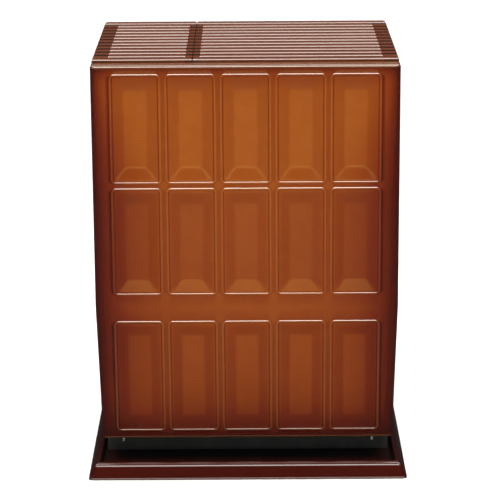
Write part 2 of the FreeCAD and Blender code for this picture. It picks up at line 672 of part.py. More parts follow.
def add_knuckle(lid, hinge, arm_start, under, thickness):
    """Fuses a hinge knuckle and its arm onto a lid."""
    low = hinge.x - KNUCKLE_LENGTH / 2
    knuckle = rod(Vector(low, hinge.y, hinge.z), X_AXIS, KNUCKLE_RADIUS, KNUCKLE_LENGTH)
    arm = box(low, low + KNUCKLE_LENGTH, arm_start, hinge.y, under, under + thickness)
    start = Vector(low - OVERCUT, hinge.y, hinge.z)
    bore = rod(start, X_AXIS, HINGE_PIN_RADIUS + RUNNING_GAP, KNUCKLE_LENGTH + 2 * OVERCUT)
    return lid.fuse([knuckle, arm]).cut(bore)


def hinge_pin(hinge):
    length = KNUCKLE_LENGTH + 2 * (LUG_PLAY + LUG_THICKNESS)
    return rod(hinge - X_AXIS * (length / 2), X_AXIS, HINGE_PIN_RADIUS, length)


def make_top_frame():
    """Frame under the lids, with a window for each, and lugs and notches for their hinges."""
    half = side_outside(PANEL_TOP)
    front = FRONT_Y + PANEL_RETURN + PANEL_GAP
    frame = box(-half, half, front, REAR_Y, FRAME_UNDER, PANEL_TOP)
    window_front = front + FRAME_BORDER / 2
    window_rear = REAR_Y - FRAME_BORDER
    bar = FRAME_BORDER / 2
    low = FRAME_UNDER - OVERCUT
    high = PANEL_TOP + OVERCUT
    for x0, x1 in ((FRAME_BORDER - half, SEAM_X - bar), (SEAM_X + bar, half - FRAME_BORDER)):
        frame = frame.cut(box(x0, x1, window_front, window_rear, low, high))
    notch = KNUCKLE_LENGTH / 2 + LUG_PLAY
    notch_front = HINGE_Y - KNUCKLE_RADIUS - HOLE_GAP
    for span in lid_spans():
        for hinge in lid_hinges(span):
            left = hinge.x - notch
            right = hinge.x + notch
            frame = frame.cut(box(left, right, notch_front, REAR_Y + OVERCUT, low, high))
            frame = add_lugs(frame, hinge, FRAME_UNDER - LUG_DROP)
    return frame.removeSplitter()


def make_lid_hinge_pins():
    return Part.makeCompound([hinge_pin(hinge) for span in lid_spans() for hinge in lid_hinges(span)])


def make_rib(x0, x1, y, height):
    """Round-backed rib along X with rounded ends, rising from the middle of the lid's sheet."""
    root = LID_UNDER + LID_PLATE / 2
    crest = LID_UNDER + LID_PLATE
    near = y - RIB_WIDTH / 2
    far = y + RIB_WIDTH / 2
    back = Part.Arc(Vector(x0, far, crest), Vector(x0, y, crest + height), Vector(x0, near, crest)).toShape()
    corners = [(near, crest), (near, root), (far, root), (far, crest)]
    foot = Part.makePolygon([Vector(x0, along, up) for along, up in corners])
    rib = Part.Face(Part.Wire(foot.Edges + [back])).extrude(X_AXIS * (x1 - x0))
    corners = [(x0, root), (x1, root), (x1, crest + height), (x0, crest + height)]
    side = outline([Vector(across, near, up) for across, up in corners], [0, 0, height, height])
    return rib.common(Part.Face(side).extrude(Y_AXIS * RIB_WIDTH))


def make_lid(span, outer_side):
    """One part of the top grille: ribs across it and slots between them, hinged at its rear."""
    x0, x1 = span
    front = LID_REAR - LID_DEPTH
    points = [Vector(x0, front, LID_UNDER), Vector(x1, front, LID_UNDER),
              Vector(x1, LID_REAR, LID_UNDER), Vector(x0, LID_REAR, LID_UNDER)]
    radii = [0, 0, LID_CORNER if outer_side > 0 else 0, LID_CORNER if outer_side < 0 else 0]
    form = Part.Face(outline(points, radii))
    webs = (WEB_MIDDLE, WEB_END) if outer_side > 0 else (WEB_END, WEB_MIDDLE)
    slot_left = x0 + webs[0]
    slot_right = x1 - webs[1]
    pitch = (LID_DEPTH - 2 * RIB_END_MARGIN) / (RIB_COUNT - 1)
    ribs = []
    slots = []
    for i in range(RIB_COUNT):
        y = front + RIB_END_MARGIN + i * pitch
        tall = (x0, x1) if i in (0, RIB_COUNT - 1) else (slot_left, slot_right)
        ribs.append(make_rib(tall[0], tall[1], y, RIB_HEIGHT))
        if i:
            ribs.append(make_rib(x0, x1, y, WEB_RIB_HEIGHT))
            near = y - pitch + RIB_WIDTH / 2
            far = y - RIB_WIDTH / 2
            radius = SLOT_ROUND * (far - near)
            slot = Part.Face(rectangle(slot_left, slot_right, near, far, LID_UNDER - OVERCUT, radius))
            slots.append(slot.extrude(Z_AXIS * (LID_PLATE + 2 * OVERCUT)))
    lid = form.extrude(Z_AXIS * LID_PLATE).fuse(ribs)
    lid = lid.common(form.extrude(Z_AXIS * (LID_PLATE + RIB_HEIGHT + OVERCUT))).cut(slots)
    for hinge in lid_hinges(span):
        lid = add_knuckle(lid, hinge, LID_REAR - OVERCUT, LID_UNDER, LID_PLATE)
    return lid.removeSplitter()


def make_burner_stand():
    """Ring under the burner pot, open at four sides for the air."""
    outer = POT_RADIUS + STAND_OVERHANG
    start = Vector(BURNER_X, BURNER_Y, BASE_TOP)
    ring = sleeve(start, Z_AXIS, outer, POT_RADIUS - STAND_SEAT, POT_BOTTOM - BASE_TOP)
    half = STAND_WINDOW / 2
    low = BASE_TOP + STAND_RIM
    high = POT_BOTTOM - STAND_RIM
    reach = outer + OVERCUT
    across = box(BURNER_X - reach, BURNER_X + reach, BURNER_Y - half, BURNER_Y + half, low, high)
    along = box(BURNER_X - half, BURNER_X + half, BURNER_Y - reach, BURNER_Y + reach, low, high)
    return ring.cut([across, along])


def make_burner_pot():
    """Pot with a top flange, rows of air holes and the oil inlet's hole in its front."""
    base = Vector(BURNER_X, BURNER_Y, POT_BOTTOM)
    pot = rod(base, Z_AXIS, POT_RADIUS, POT_HEIGHT)
    pot = pot.fuse(rod(base + Z_AXIS * (POT_HEIGHT - POT_FLANGE), Z_AXIS, POT_FLANGE_RADIUS, POT_FLANGE))
    pot = pot.cut(rod(base + Z_AXIS * POT_WALL, Z_AXIS, POT_RADIUS - POT_WALL, POT_HEIGHT))
    reach = POT_RADIUS + OVERCUT
    cuts = [rod(Vector(BURNER_X, BURNER_Y, TEE_Z), -Y_AXIS, PIPE_BORE, reach)]
    for row in range(AIR_HOLE_ROWS):
        for pair in range(AIR_HOLE_PAIRS):
            angle = math.pi * (pair + row % 2 / 2) / AIR_HOLE_PAIRS
            across = Vector(math.cos(angle), math.sin(angle), 0)
            level = base + Z_AXIS * (AIR_HOLE_START + row * AIR_HOLE_PITCH)
            cuts.append(rod(level - across * reach, across, AIR_HOLE_RADIUS, 2 * reach))
    return pot.cut(cuts).removeSplitter()


def make_burner_ring():
    return sleeve(Vector(BURNER_X, BURNER_Y, POT_TOP), Z_AXIS, RING_RADIUS, RING_BORE, RING_THICKNESS)


def make_inner_ring():
    """Slotted ring that stands on the pot's floor."""
    base = Vector(BURNER_X, BURNER_Y, POT_BOTTOM + POT_WALL)
    ring = sleeve(base, Z_AXIS, INNER_RING_RADIUS, INNER_RING_RADIUS - POT_WALL, INNER_RING_HEIGHT)
    reach = INNER_RING_RADIUS + OVERCUT
    half = INNER_RING_SLOT / 2
    low = base.z + INNER_RING_SLOT
    high = base.z + INNER_RING_HEIGHT - INNER_RING_SLOT
    for turn in range(4):
        slot = box(BURNER_X - reach, BURNER_X + reach, BURNER_Y - half, BURNER_Y + half, low, high)
        slot.rotate(base, Z_AXIS, 45 * turn)
        ring = ring.cut(slot)
    return ring


def make_oil_inlet():
    """Tee on the pot's front: open to the pot, to the burner pipe at its left and to the plunger ahead."""
    start = Vector(BURNER_X, TEE_FRONT, TEE_Z)
    tee = rod(start, Y_AXIS, TEE_RADIUS, TEE_LENGTH + POT_WALL)
    tee = tee.cut(rod(Vector(BURNER_X, BURNER_Y, POT_BOTTOM), Z_AXIS, POT_RADIUS, POT_HEIGHT))
    bore = rod(start - Y_AXIS * OVERCUT, Y_AXIS, PLUNGER_RADIUS + RUNNING_GAP, TEE_LENGTH + POT_RADIUS)
    branch = rod(Vector(BURNER_X, TEE_Y, TEE_Z), -X_AXIS, PIPE_BORE, TEE_RADIUS + OVERCUT)
    return tee.cut([bore, branch])


def make_cleaning_plunger():
    """Needle that clears the oil inlet, with a knob ahead of the tee."""
    tip = BURNER_Y - POT_RADIUS - POT_WALL
    tail = TEE_FRONT - PLUNGER_REACH
    needle = rod(Vector(BURNER_X, tail, TEE_Z), Y_AXIS, PLUNGER_RADIUS, tip - tail)
    knob_start = Vector(BURNER_X, tail - PLUNGER_KNOB_LENGTH, TEE_Z)
    knob = rod(knob_start, Y_AXIS, PLUNGER_KNOB_RADIUS, PLUNGER_KNOB_LENGTH)
    return needle.fuse(knob).removeSplitter()


def make_drum_gasket():
    middle = DRUM_RADIUS - DRUM_WALL / 2
    start = Vector(BURNER_X, BURNER_Y, POT_TOP)
    return sleeve(start, Z_AXIS, middle + GASKET_WIDTH / 2, middle - GASKET_WIDTH / 2, GASKET_HEIGHT)


def make_combustion_drum():
    """Upright drum with the flue's hole in its rear."""
    start = Vector(BURNER_X, BURNER_Y, DRUM_BOTTOM)
    drum = sleeve(start, Z_AXIS, DRUM_RADIUS, DRUM_RADIUS - DRUM_WALL, DRUM_HEIGHT)
    flue = Vector(BURNER_X, BURNER_Y, FLUE_HEIGHT)
    return drum.cut(rod(flue, Y_AXIS, FLUE_RADIUS - FLUE_WALL, DRUM_RADIUS + OVERCUT))


def make_drum_cover():
    """Drum top with the ignition hatch's neck and the lugs of its lid."""
    start = Vector(BURNER_X, BURNER_Y, DRUM_TOP)
    cover = rod(start, Z_AXIS, DRUM_RADIUS + DRUM_COVER_OVERHANG, DRUM_COVER)
    hatch = Vector(BURNER_X, HATCH_Y, DRUM_TOP)
    neck = DRUM_COVER + HATCH_NECK_HEIGHT
    cover = cover.fuse(rod(hatch, Z_AXIS, HATCH_RADIUS + HATCH_NECK_WALL, neck))
    cover = cover.cut(rod(hatch - Z_AXIS * OVERCUT, Z_AXIS, HATCH_RADIUS, neck + 2 * OVERCUT))
    return add_lugs(cover, HATCH_HINGE, DRUM_TOP).removeSplitter()


def make_ignition_lid():
    """Round lid with a sight hole, hinged behind the hatch."""
    start = Vector(BURNER_X, HATCH_Y, HATCH_LID_UNDER)
    lid = rod(start, Z_AXIS, HATCH_LID_RADIUS, HATCH_LID_THICKNESS)
    arm_start = HATCH_Y + HATCH_LID_RADIUS - HATCH_LID_OVERHANG
    lid = add_knuckle(lid, HATCH_HINGE, arm_start, HATCH_LID_UNDER, HATCH_LID_THICKNESS)
    sight = rod(start - Z_AXIS * OVERCUT, Z_AXIS, WINDOW_SIGHT_RADIUS, HATCH_LID_THICKNESS + 2 * OVERCUT)
    return lid.cut(sight).removeSplitter()


def make_ignition_lid_pin():
    return hinge_pin(HATCH_HINGE)


def make_ignition_window():
    level = HATCH_LID_UNDER + HATCH_LID_THICKNESS
    return rod(Vector(BURNER_X, HATCH_Y, level), Z_AXIS, WINDOW_RADIUS, WINDOW_THICKNESS)


def make_window_ring():
    """Clamping ring over the window, stepped down to the lid around it."""
    start = Vector(BURNER_X, HATCH_Y, HATCH_LID_UNDER + HATCH_LID_THICKNESS)
    height = WINDOW_THICKNESS + WINDOW_RING_THICKNESS
    ring = sleeve(start, Z_AXIS, WINDOW_RING_RADIUS, WINDOW_SIGHT_RADIUS, height)
    return ring.cut(rod(start, Z_AXIS, WINDOW_RADIUS + PANEL_GAP, WINDOW_THICKNESS))


def make_ignition_knob():
    """Turned knob near the lid's front edge."""
    y = HATCH_Y - (WINDOW_RING_RADIUS + HATCH_LID_RADIUS) / 2
    level = Vector(BURNER_X, y, HATCH_LID_UNDER + HATCH_LID_THICKNESS)
    stem = rod(level, Z_AXIS, HATCH_KNOB_RADIUS / 2, HATCH_KNOB_HEIGHT / 2)
    head = rod(level + Z_AXIS * (HATCH_KNOB_HEIGHT / 2), Z_AXIS, HATCH_KNOB_RADIUS, HATCH_KNOB_HEIGHT / 2)
    return stem.fuse(head).removeSplitter()


def make_baffle():
    """Disc across the drum, cut back at its front for the gas."""
    level = Vector(BURNER_X, BURNER_Y, DRUM_BOTTOM + BAFFLE_HEIGHT)
    reach = DRUM_RADIUS - DRUM_WALL - PANEL_GAP
    disc = rod(level, Z_AXIS, reach, BAFFLE_THICKNESS)
    gate = box(BURNER_X - reach, BURNER_X + reach, BURNER_Y - reach, BURNER_Y - reach + BAFFLE_GATE,
               level.z - OVERCUT, level.z + BAFFLE_THICKNESS + OVERCUT)
    return disc.cut(gate)


def make_flue_spigot():
    """Duct from the drum through the rear panel, stepped down to the spigot behind it."""
    start = Vector(BURNER_X, BURNER_Y, FLUE_HEIGHT)
    step = REAR_Y + 2 * COLLAR_THICKNESS
    duct = rod(start, Y_AXIS, FLUE_RADIUS + FLUE_STEP, step - BURNER_Y)
    duct = duct.fuse(rod(start, Y_AXIS, FLUE_RADIUS, step - BURNER_Y + FLUE_REACH))
    duct = duct.cut(rod(start, Y_AXIS, FLUE_RADIUS - FLUE_WALL, CASE_DEPTH + FLUE_REACH))
    drum = rod(Vector(BURNER_X, BURNER_Y, DRUM_BOTTOM), Z_AXIS, DRUM_RADIUS + SEAT_GAP, DRUM_HEIGHT)
    return duct.cut(drum)


def make_flue_collar():
    inner = FLUE_RADIUS + FLUE_STEP + PANEL_GAP
    start = Vector(BURNER_X, REAR_Y, FLUE_HEIGHT)
    return sleeve(start, Y_AXIS, inner + COLLAR_WIDTH, inner, COLLAR_THICKNESS)


def make_oil_tank():
    """Welded tank with openings for the filler neck, the gauge rod and the valve."""
    shell = Part.Face(rectangle(TANK_LEFT, TANK_RIGHT, TANK_FRONT, TANK_REAR, TANK_BOTTOM, TANK_CORNER))
    inside = Part.Face(rectangle(TANK_LEFT + SHEET, TANK_RIGHT - SHEET, TANK_FRONT + SHEET, TANK_REAR - SHEET,
                                 TANK_BOTTOM + SHEET, TANK_CORNER - SHEET))
    height = TANK_TOP - TANK_BOTTOM
    tank = shell.extrude(Z_AXIS * height).cut(inside.extrude(Z_AXIS * (height - 2 * SHEET)))
    top = TANK_TOP - SHEET - OVERCUT
    neck = rod(Vector(TANK_X, NECK_Y, top), Z_AXIS, NECK_BORE, SHEET_CUT)
    gauge = rod(Vector(OIL_LINE_X, GAUGE_Y, top), Z_AXIS, GAUGE_ROD_RADIUS + HOLE_GAP, SHEET_CUT)
    outlet = rod(Vector(OIL_LINE_X, VALVE_Y, TANK_BOTTOM - OVERCUT), Z_AXIS, PIPE_BORE, SHEET_CUT)
    return tank.cut([neck, gauge, outlet])


def make_tank_brackets():
    """Two angle bars between the side panel and the heat shield, under the tank."""
    bars = []
    for y in (TANK_FRONT + BRACKET_INSET, TANK_REAR - BRACKET_INSET):
        near = y - BRACKET_WIDTH / 2
        far = y + BRACKET_WIDTH / 2
        shelf = box(-SIDE_INSIDE, SHIELD_X, near, far, TANK_BOTTOM - BRACKET_SHEET, TANK_BOTTOM)
        leg = box(-SIDE_INSIDE, SHIELD_X, far - BRACKET_SHEET, far, TANK_BOTTOM - BRACKET_LEG, TANK_BOTTOM)
        bars.append(shelf.fuse(leg).removeSplitter())
    return Part.makeCompound(bars)


def make_filler_neck():
    start = Vector(TANK_X, NECK_Y, TANK_TOP)
    neck = sleeve(start, Z_AXIS, NECK_BORE + NECK_WALL, NECK_BORE, NECK_HEIGHT)
    return neck.fuse(sleeve(start, Z_AXIS, NECK_FLANGE_RADIUS, NECK_BORE, NECK_FLANGE)).removeSplitter()


def make_filler_strainer():
    """Thin cup that hangs in the neck by its rim."""
    outer = NECK_BORE - HOLE_GAP
    inner = outer - STRAINER_WALL
    low = Vector(TANK_X, NECK_Y, STRAINER_TOP - STRAINER_DEPTH)
    cup = rod(low, Z_AXIS, outer, STRAINER_DEPTH)
    cup = cup.fuse(rod(Vector(TANK_X, NECK_Y, NECK_TOP), Z_AXIS, NECK_BORE + NECK_WALL, STRAINER_RIM))
    return cup.cut(rod(low + Z_AXIS * STRAINER_WALL, Z_AXIS, inner, STRAINER_DEPTH)).removeSplitter()


def grip_ribs(low, ring_radius, rib_radius, count, height):
    """Upright round ribs, evenly spaced around a cap or a knob."""
    ribs = []
    for step in range(count):
        angle = 2 * math.pi * step / count
        outward = Vector(math.cos(angle), math.sin(angle), 0)
        ribs.append(rod(low + outward * ring_radius, Z_AXIS, rib_radius, height))
    return ribs


def make_filler_cap():
    """Cap over the neck, with a ring of grip ribs."""
    inner = NECK_BORE + NECK_WALL + CAP_SIDE_GAP
    outer = inner + CAP_WALL
    low = Vector(TANK_X, NECK_Y, NECK_TOP - CAP_SKIRT)
    room = STRAINER_TOP + SEAT_GAP - low.z
    cap = rod(low, Z_AXIS, outer, room + CAP_WALL)
    ribs = grip_ribs(low, outer, CAP_RIB_RADIUS, CAP_RIB_COUNT, room)
    return cap.fuse(ribs).cut(rod(low, Z_AXIS, inner, room)).removeSplitter()


def make_gauge_tube():
    """Clear tube, closed at its top, over the gauge rod."""
    start = Vector(OIL_LINE_X, GAUGE_Y, TANK_TOP)
    tube = rod(start, Z_AXIS, GAUGE_TUBE_BORE + GAUGE_TUBE_WALL, GAUGE_TUBE_HEIGHT)
    return tube.cut(rod(start, Z_AXIS, GAUGE_TUBE_BORE, GAUGE_TUBE_HEIGHT - GAUGE_TUBE_WALL))


def make_gauge_float():
    """Float, rod and marker of the full mark; the marker rests on the tank's top."""
    rest = TANK_TOP + SEAT_GAP
    crown = TANK_TOP - SHEET - GAUGE_TRAVEL - GAUGE_HEAD_HEIGHT
    marker = rod(Vector(OIL_LINE_X, GAUGE_Y, rest), Z_AXIS, GAUGE_HEAD_RADIUS, GAUGE_HEAD_HEIGHT)
    stem = rod(Vector(OIL_LINE_X, GAUGE_Y, crown), Z_AXIS, GAUGE_ROD_RADIUS, rest - crown)
    buoy_start = Vector(OIL_LINE_X, GAUGE_Y, crown - GAUGE_FLOAT_HEIGHT)
    buoy = rod(buoy_start, Z_AXIS, GAUGE_FLOAT_RADIUS, GAUGE_FLOAT_HEIGHT)
    return marker.fuse([stem, buoy]).removeSplitter()


def handle_axis():
    """Front end of the valve's spindle, where the handle sits."""
    return Vector(OIL_LINE_X, VALVE_Y - VALVE_RADIUS - SPINDLE_REACH, TANK_BOTTOM - VALVE_LENGTH / 2)


def make_shutoff_valve():
    """Valve under the tank, with the spindle of its handle to the front."""
    low = Vector(OIL_LINE_X, VALVE_Y, TANK_BOTTOM - VALVE_LENGTH)
    body = rod(low, Z_AXIS, VALVE_RADIUS, VALVE_LENGTH)
    body = body.fuse(rod(handle_axis(), Y_AXIS, SPINDLE_RADIUS, SPINDLE_REACH + VALVE_RADIUS))
    return body.cut(rod(low, Z_AXIS, PIPE_BORE, VALVE_LENGTH)).removeSplitter()


def make_shutoff_handle():
    """Lever handle on the valve's spindle."""
    middle = handle_axis()
    thick = HANDLE_THICKNESS
    hub = rod(middle, Y_AXIS, HANDLE_HUB_RADIUS, thick)
    arm = Part.makeBox(HANDLE_LENGTH, thick, thick, middle - Z_AXIS * (thick / 2))
    bore = rod(middle - Y_AXIS * OVERCUT, Y_AXIS, SPINDLE_RADIUS + RUNNING_GAP, thick + 2 * OVERCUT)
    return hub.fuse(arm).cut(bore).removeSplitter()


def make_feed_pipe():
    start = Vector(OIL_LINE_X, VALVE_Y, REGULATOR_COVER)
    return sleeve(start, Z_AXIS, PIPE_RADIUS, PIPE_BORE, TANK_BOTTOM - VALVE_LENGTH - REGULATOR_COVER)


def make_burner_pipe():
    start = Vector(REGULATOR_RIGHT, TEE_Y, TEE_Z)
    pipe = sleeve(start, X_AXIS, PIPE_RADIUS, PIPE_BORE, BURNER_X - REGULATOR_RIGHT)
    return pipe.cut(rod(Vector(BURNER_X, TEE_FRONT, TEE_Z), Y_AXIS, TEE_RADIUS + RUNNING_GAP, TEE_LENGTH))


def make_pipe_nuts():
    """Union nuts at both ends of the feed pipe and the burner pipe."""
    bore = PIPE_RADIUS + RUNNING_GAP
    below_valve = TANK_BOTTOM - VALVE_LENGTH - NUT_LENGTH
    beside_tee = BURNER_X - TEE_RADIUS - RUNNING_GAP - NUT_LENGTH
    places = [
        (Vector(OIL_LINE_X, VALVE_Y, REGULATOR_COVER), Z_AXIS),
        (Vector(OIL_LINE_X, VALVE_Y, below_valve), Z_AXIS),
        (Vector(REGULATOR_RIGHT, TEE_Y, TEE_Z), X_AXIS),
        (Vector(beside_tee, TEE_Y, TEE_Z), X_AXIS),
    ]
    return Part.makeCompound([hexagon(start, axis, NUT_RADIUS, bore, NUT_LENGTH) for start, axis in places])


def make_regulator_shelf():
    """Bent sheet that carries the regulator above the base plate."""
    rear = REGULATOR_FRONT + REGULATOR_DEPTH
    block = box(REGULATOR_LEFT, REGULATOR_RIGHT, REGULATOR_FRONT, rear, BASE_TOP, REGULATOR_SHELF)
    room = box(REGULATOR_LEFT + SHELF_SHEET, REGULATOR_RIGHT - SHELF_SHEET, REGULATOR_FRONT - OVERCUT,
               rear + OVERCUT, BASE_TOP - OVERCUT, REGULATOR_SHELF - SHELF_SHEET)
    return block.cut(room)


def lever_axis():
    return Vector(REGULATOR_RIGHT - LEVER_INSET, REGULATOR_FRONT, REGULATOR_TOP - LEVER_DROP)


def make_regulator_body():
    """Float chamber with its outlet and the stud of the safety lever."""
    rear = REGULATOR_FRONT + REGULATOR_DEPTH
    wall = REGULATOR_WALL
    body = box(REGULATOR_LEFT, REGULATOR_RIGHT, REGULATOR_FRONT, rear, REGULATOR_SHELF, REGULATOR_TOP)
    room = box(REGULATOR_LEFT + wall, REGULATOR_RIGHT - wall, REGULATOR_FRONT + wall, rear - wall,
               REGULATOR_SHELF + wall, REGULATOR_TOP + OVERCUT)
    outlet_start = Vector(REGULATOR_RIGHT - wall - OVERCUT, TEE_Y, TEE_Z)
    outlet = rod(outlet_start, X_AXIS, PIPE_BORE, wall + 2 * OVERCUT)
    stud = rod(lever_axis(), -Y_AXIS, LEVER_STUD_RADIUS, LEVER_THICKNESS + 2 * PANEL_GAP)
    return body.cut([room, outlet]).fuse(stud).removeSplitter()


def make_regulator_lid():
    """Lid of the float chamber, with the control rod's bush and the feed's inlet."""
    rear = REGULATOR_FRONT + REGULATOR_DEPTH
    lid = box(REGULATOR_LEFT, REGULATOR_RIGHT, REGULATOR_FRONT, rear, REGULATOR_TOP, REGULATOR_COVER)
    bush = Vector(ROD_X, ROD_Y, REGULATOR_COVER)
    lid = lid.fuse(rod(bush, Z_AXIS, ROD_COLLAR_RADIUS, ROD_COLLAR_HEIGHT))
    bore = rod(bush, Z_AXIS, ROD_RADIUS + RUNNING_GAP, ROD_COLLAR_HEIGHT + OVERCUT)
    inlet_start = Vector(OIL_LINE_X, VALVE_Y, REGULATOR_TOP - OVERCUT)
    inlet = rod(inlet_start, Z_AXIS, PIPE_BORE, REGULATOR_LID + 2 * OVERCUT)
    return lid.cut([bore, inlet]).removeSplitter()


def make_regulator_float():
    middle = REGULATOR_FRONT + REGULATOR_DEPTH / 2
    low = REGULATOR_SHELF + REGULATOR_WALL + SEAT_GAP
    half = FLOAT_SIZE / 2
    body = box(OIL_LINE_X - half, OIL_LINE_X + half, middle - half, middle + half, low, low + FLOAT_HEIGHT)
    return body.makeFillet(FLOAT_ROUND, body.Edges)


def make_safety_lever():
    """Trip lever on the regulator's front."""
    hub_end = lever_axis() - Y_AXIS * (PANEL_GAP + LEVER_THICKNESS)
    thick = LEVER_THICKNESS
    hub = rod(hub_end, Y_AXIS, LEVER_HUB_RADIUS, thick)
    arm = Part.makeBox(LEVER_LENGTH, thick, thick, hub_end - Vector(LEVER_LENGTH, 0, thick / 2))
    bore = rod(hub_end - Y_AXIS * OVERCUT, Y_AXIS, LEVER_STUD_RADIUS + RUNNING_GAP, thick + 2 * OVERCUT)
    return hub.fuse(arm).cut(bore).removeSplitter()


def make_dial_plate():
    """Sheet under the control knob, from the side panel to the heat shield."""
    plate = box(-SIDE_INSIDE, SHIELD_X, ROD_Y - DIAL_DEPTH / 2, ROD_Y + DIAL_DEPTH / 2, DIAL_HEIGHT, DIAL_TOP)
    start = Vector(ROD_X, ROD_Y, DIAL_HEIGHT - OVERCUT)
    return plate.cut(rod(start, Z_AXIS, ROD_RADIUS + HOLE_GAP, SHEET_CUT))


def make_control_rod():
    foot = REGULATOR_COVER + SEAT_GAP
    return rod(Vector(ROD_X, ROD_Y, foot), Z_AXIS, ROD_RADIUS, DIAL_TOP + KNOB_HEIGHT / 2 - foot)


def make_control_knob():
    """Ribbed knob with a raised pointer, on the end of the control rod."""
    low = Vector(ROD_X, ROD_Y, DIAL_TOP + PANEL_GAP)
    knob = rod(low, Z_AXIS, KNOB_RADIUS, KNOB_HEIGHT)
    ribs = grip_ribs(low, KNOB_RADIUS, KNOB_RIB_RADIUS, KNOB_RIB_COUNT, KNOB_HEIGHT)
    top = low.z + KNOB_HEIGHT
    half = KNOB_POINTER_WIDTH / 2
    pointer = box(ROD_X - half, ROD_X + half, ROD_Y - KNOB_RADIUS, ROD_Y, top, top + KNOB_POINTER_HEIGHT)
    bore = rod(low, Z_AXIS, ROD_RADIUS + RUNNING_GAP, DIAL_TOP + KNOB_HEIGHT / 2 - low.z)
    return knob.fuse(ribs + [pointer]).cut(bore).removeSplitter()


def make_pieces():
    flap_span, lid_span = lid_spans()
    return {
        "floor_tray": make_floor_tray(),
        "plinth": make_plinth(),
        "base_plate": make_base_plate(),
        "left_side_panel": make_side_panel(-1),
        "right_side_panel": make_side_panel(1),
        "rear_panel": make_rear_panel(),
        "rear_panel_screws": make_rear_panel_screws(),
        "front_panel": make_front_panel(),
        "panel_pegs": make_panel_pegs(),
        "heat_shield": make_heat_shield(),
        "top_frame": make_top_frame(),
        "lid_hinge_pins": make_lid_hinge_pins(),
        "control_flap": make_lid(flap_span, -1),
        "grille_lid": make_lid(lid_span, 1),
        "burner_stand": make_burner_stand(),
        "burner_pot": make_burner_pot(),
        "burner_ring": make_burner_ring(),
        "inner_ring": make_inner_ring(),
        "oil_inlet": make_oil_inlet(),
        "cleaning_plunger": make_cleaning_plunger(),
        "drum_gasket": make_drum_gasket(),
        "combustion_drum": make_combustion_drum(),
        "drum_cover": make_drum_cover(),
        "baffle": make_baffle(),
        "ignition_lid": make_ignition_lid(),
        "ignition_lid_pin": make_ignition_lid_pin(),
        "ignition_window": make_ignition_window(),
        "window_ring": make_window_ring(),
        "ignition_knob": make_ignition_knob(),
        "flue_spigot": make_flue_spigot(),
        "flue_collar": make_flue_collar(),
        "oil_tank": make_oil_tank(),
        "tank_brackets": make_tank_brackets(),
        "filler_neck": make_filler_neck(),
        "filler_strainer": make_filler_strainer(),
        "filler_cap": make_filler_cap(),
        "gauge_tube": make_gauge_tube(),
        "gauge_float": make_gauge_float(),
        "shutoff_valve": make_shutoff_valve(),
        "shutoff_handle": make_shutoff_handle(),
        "feed_pipe": make_feed_pipe(),
        "burner_pipe": make_burner_pipe(),
        "pipe_nuts": make_pipe_nuts(),
        "regulator_shelf": make_regulator_shelf(),
        "regulator_body": make_regulator_body(),
        "regulator_lid": make_regulator_lid(),
        "regulator_float": make_regulator_float(),
        "safety_lever": make_safety_lever(),
        "dial_plate": make_dial_plate(),
        "control_rod": make_control_rod(),
        "control_knob": make_control_knob(),
    }


def main():
    os.makedirs("parts", exist_ok=True)
    for name, shape in make_pieces().items():
        shape.exportStep(f"parts/{name}.step")
        print(name, len(shape.Solids), "valid" if shape.isValid() else "NOT VALID", round(shape.Volume))


main()
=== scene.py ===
import json
import math

import bpy
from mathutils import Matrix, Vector

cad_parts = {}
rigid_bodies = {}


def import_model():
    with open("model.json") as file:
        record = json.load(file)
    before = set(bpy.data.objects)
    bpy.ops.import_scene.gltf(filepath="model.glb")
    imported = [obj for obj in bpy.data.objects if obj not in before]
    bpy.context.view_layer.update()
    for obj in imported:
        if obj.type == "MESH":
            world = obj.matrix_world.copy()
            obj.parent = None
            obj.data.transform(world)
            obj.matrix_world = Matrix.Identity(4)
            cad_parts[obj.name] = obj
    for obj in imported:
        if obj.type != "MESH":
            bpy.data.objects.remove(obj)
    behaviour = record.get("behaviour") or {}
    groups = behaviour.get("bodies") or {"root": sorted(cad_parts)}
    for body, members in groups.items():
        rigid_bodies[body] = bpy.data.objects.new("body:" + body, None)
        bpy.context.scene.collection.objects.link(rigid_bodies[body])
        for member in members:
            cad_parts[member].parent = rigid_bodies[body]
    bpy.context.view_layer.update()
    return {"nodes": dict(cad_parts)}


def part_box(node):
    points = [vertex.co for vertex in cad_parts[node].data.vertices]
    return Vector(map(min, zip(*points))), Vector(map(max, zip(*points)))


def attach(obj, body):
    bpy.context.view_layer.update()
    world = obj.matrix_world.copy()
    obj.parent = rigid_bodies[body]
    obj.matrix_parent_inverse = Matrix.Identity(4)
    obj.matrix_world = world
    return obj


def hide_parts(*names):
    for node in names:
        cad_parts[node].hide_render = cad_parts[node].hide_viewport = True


for left_over in list(bpy.data.objects):
    bpy.data.objects.remove(left_over)

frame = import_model()
NODES = frame["nodes"]
MM = 0.001

# Front panel, as it is packed
PANEL_LOW, PANEL_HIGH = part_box("front_panel")
BEAD_HEIGHT = 2.6 * MM
SHEET = 1.5 * MM
FRONT_Y = PANEL_LOW.y + BEAD_HEIGHT
PANEL_HALF = PANEL_HIGH.x
PANEL_TOP = PANEL_HIGH.z
PANEL_BOTTOM = PANEL_LOW.z
FOOT_HALF = 273 * MM
KNEE = 318 * MM
LEAN = 24 * MM
RETURN = 45 * MM
CORNER = 8 * MM
FOLD = 6 * MM
COLUMNS = 5
COFFER_WIDTH = 94.6 * MM
SPACING = 5.4 * MM
EDGE_MARGIN = 15 * MM
KNEE_MARGIN = 24 * MM
BEAD_WIDTH = 6 * MM
BEAD_CORNER = 10 * MM
DISH_DEPTH = 4.5 * MM
DISH_LEDGE = 1.5 * MM
DISH_SIDE = 21 * MM
DISH_END = 26 * MM
UPRIGHT = PANEL_TOP - KNEE
SLOPE = math.hypot(LEAN, KNEE - PANEL_BOTTOM)
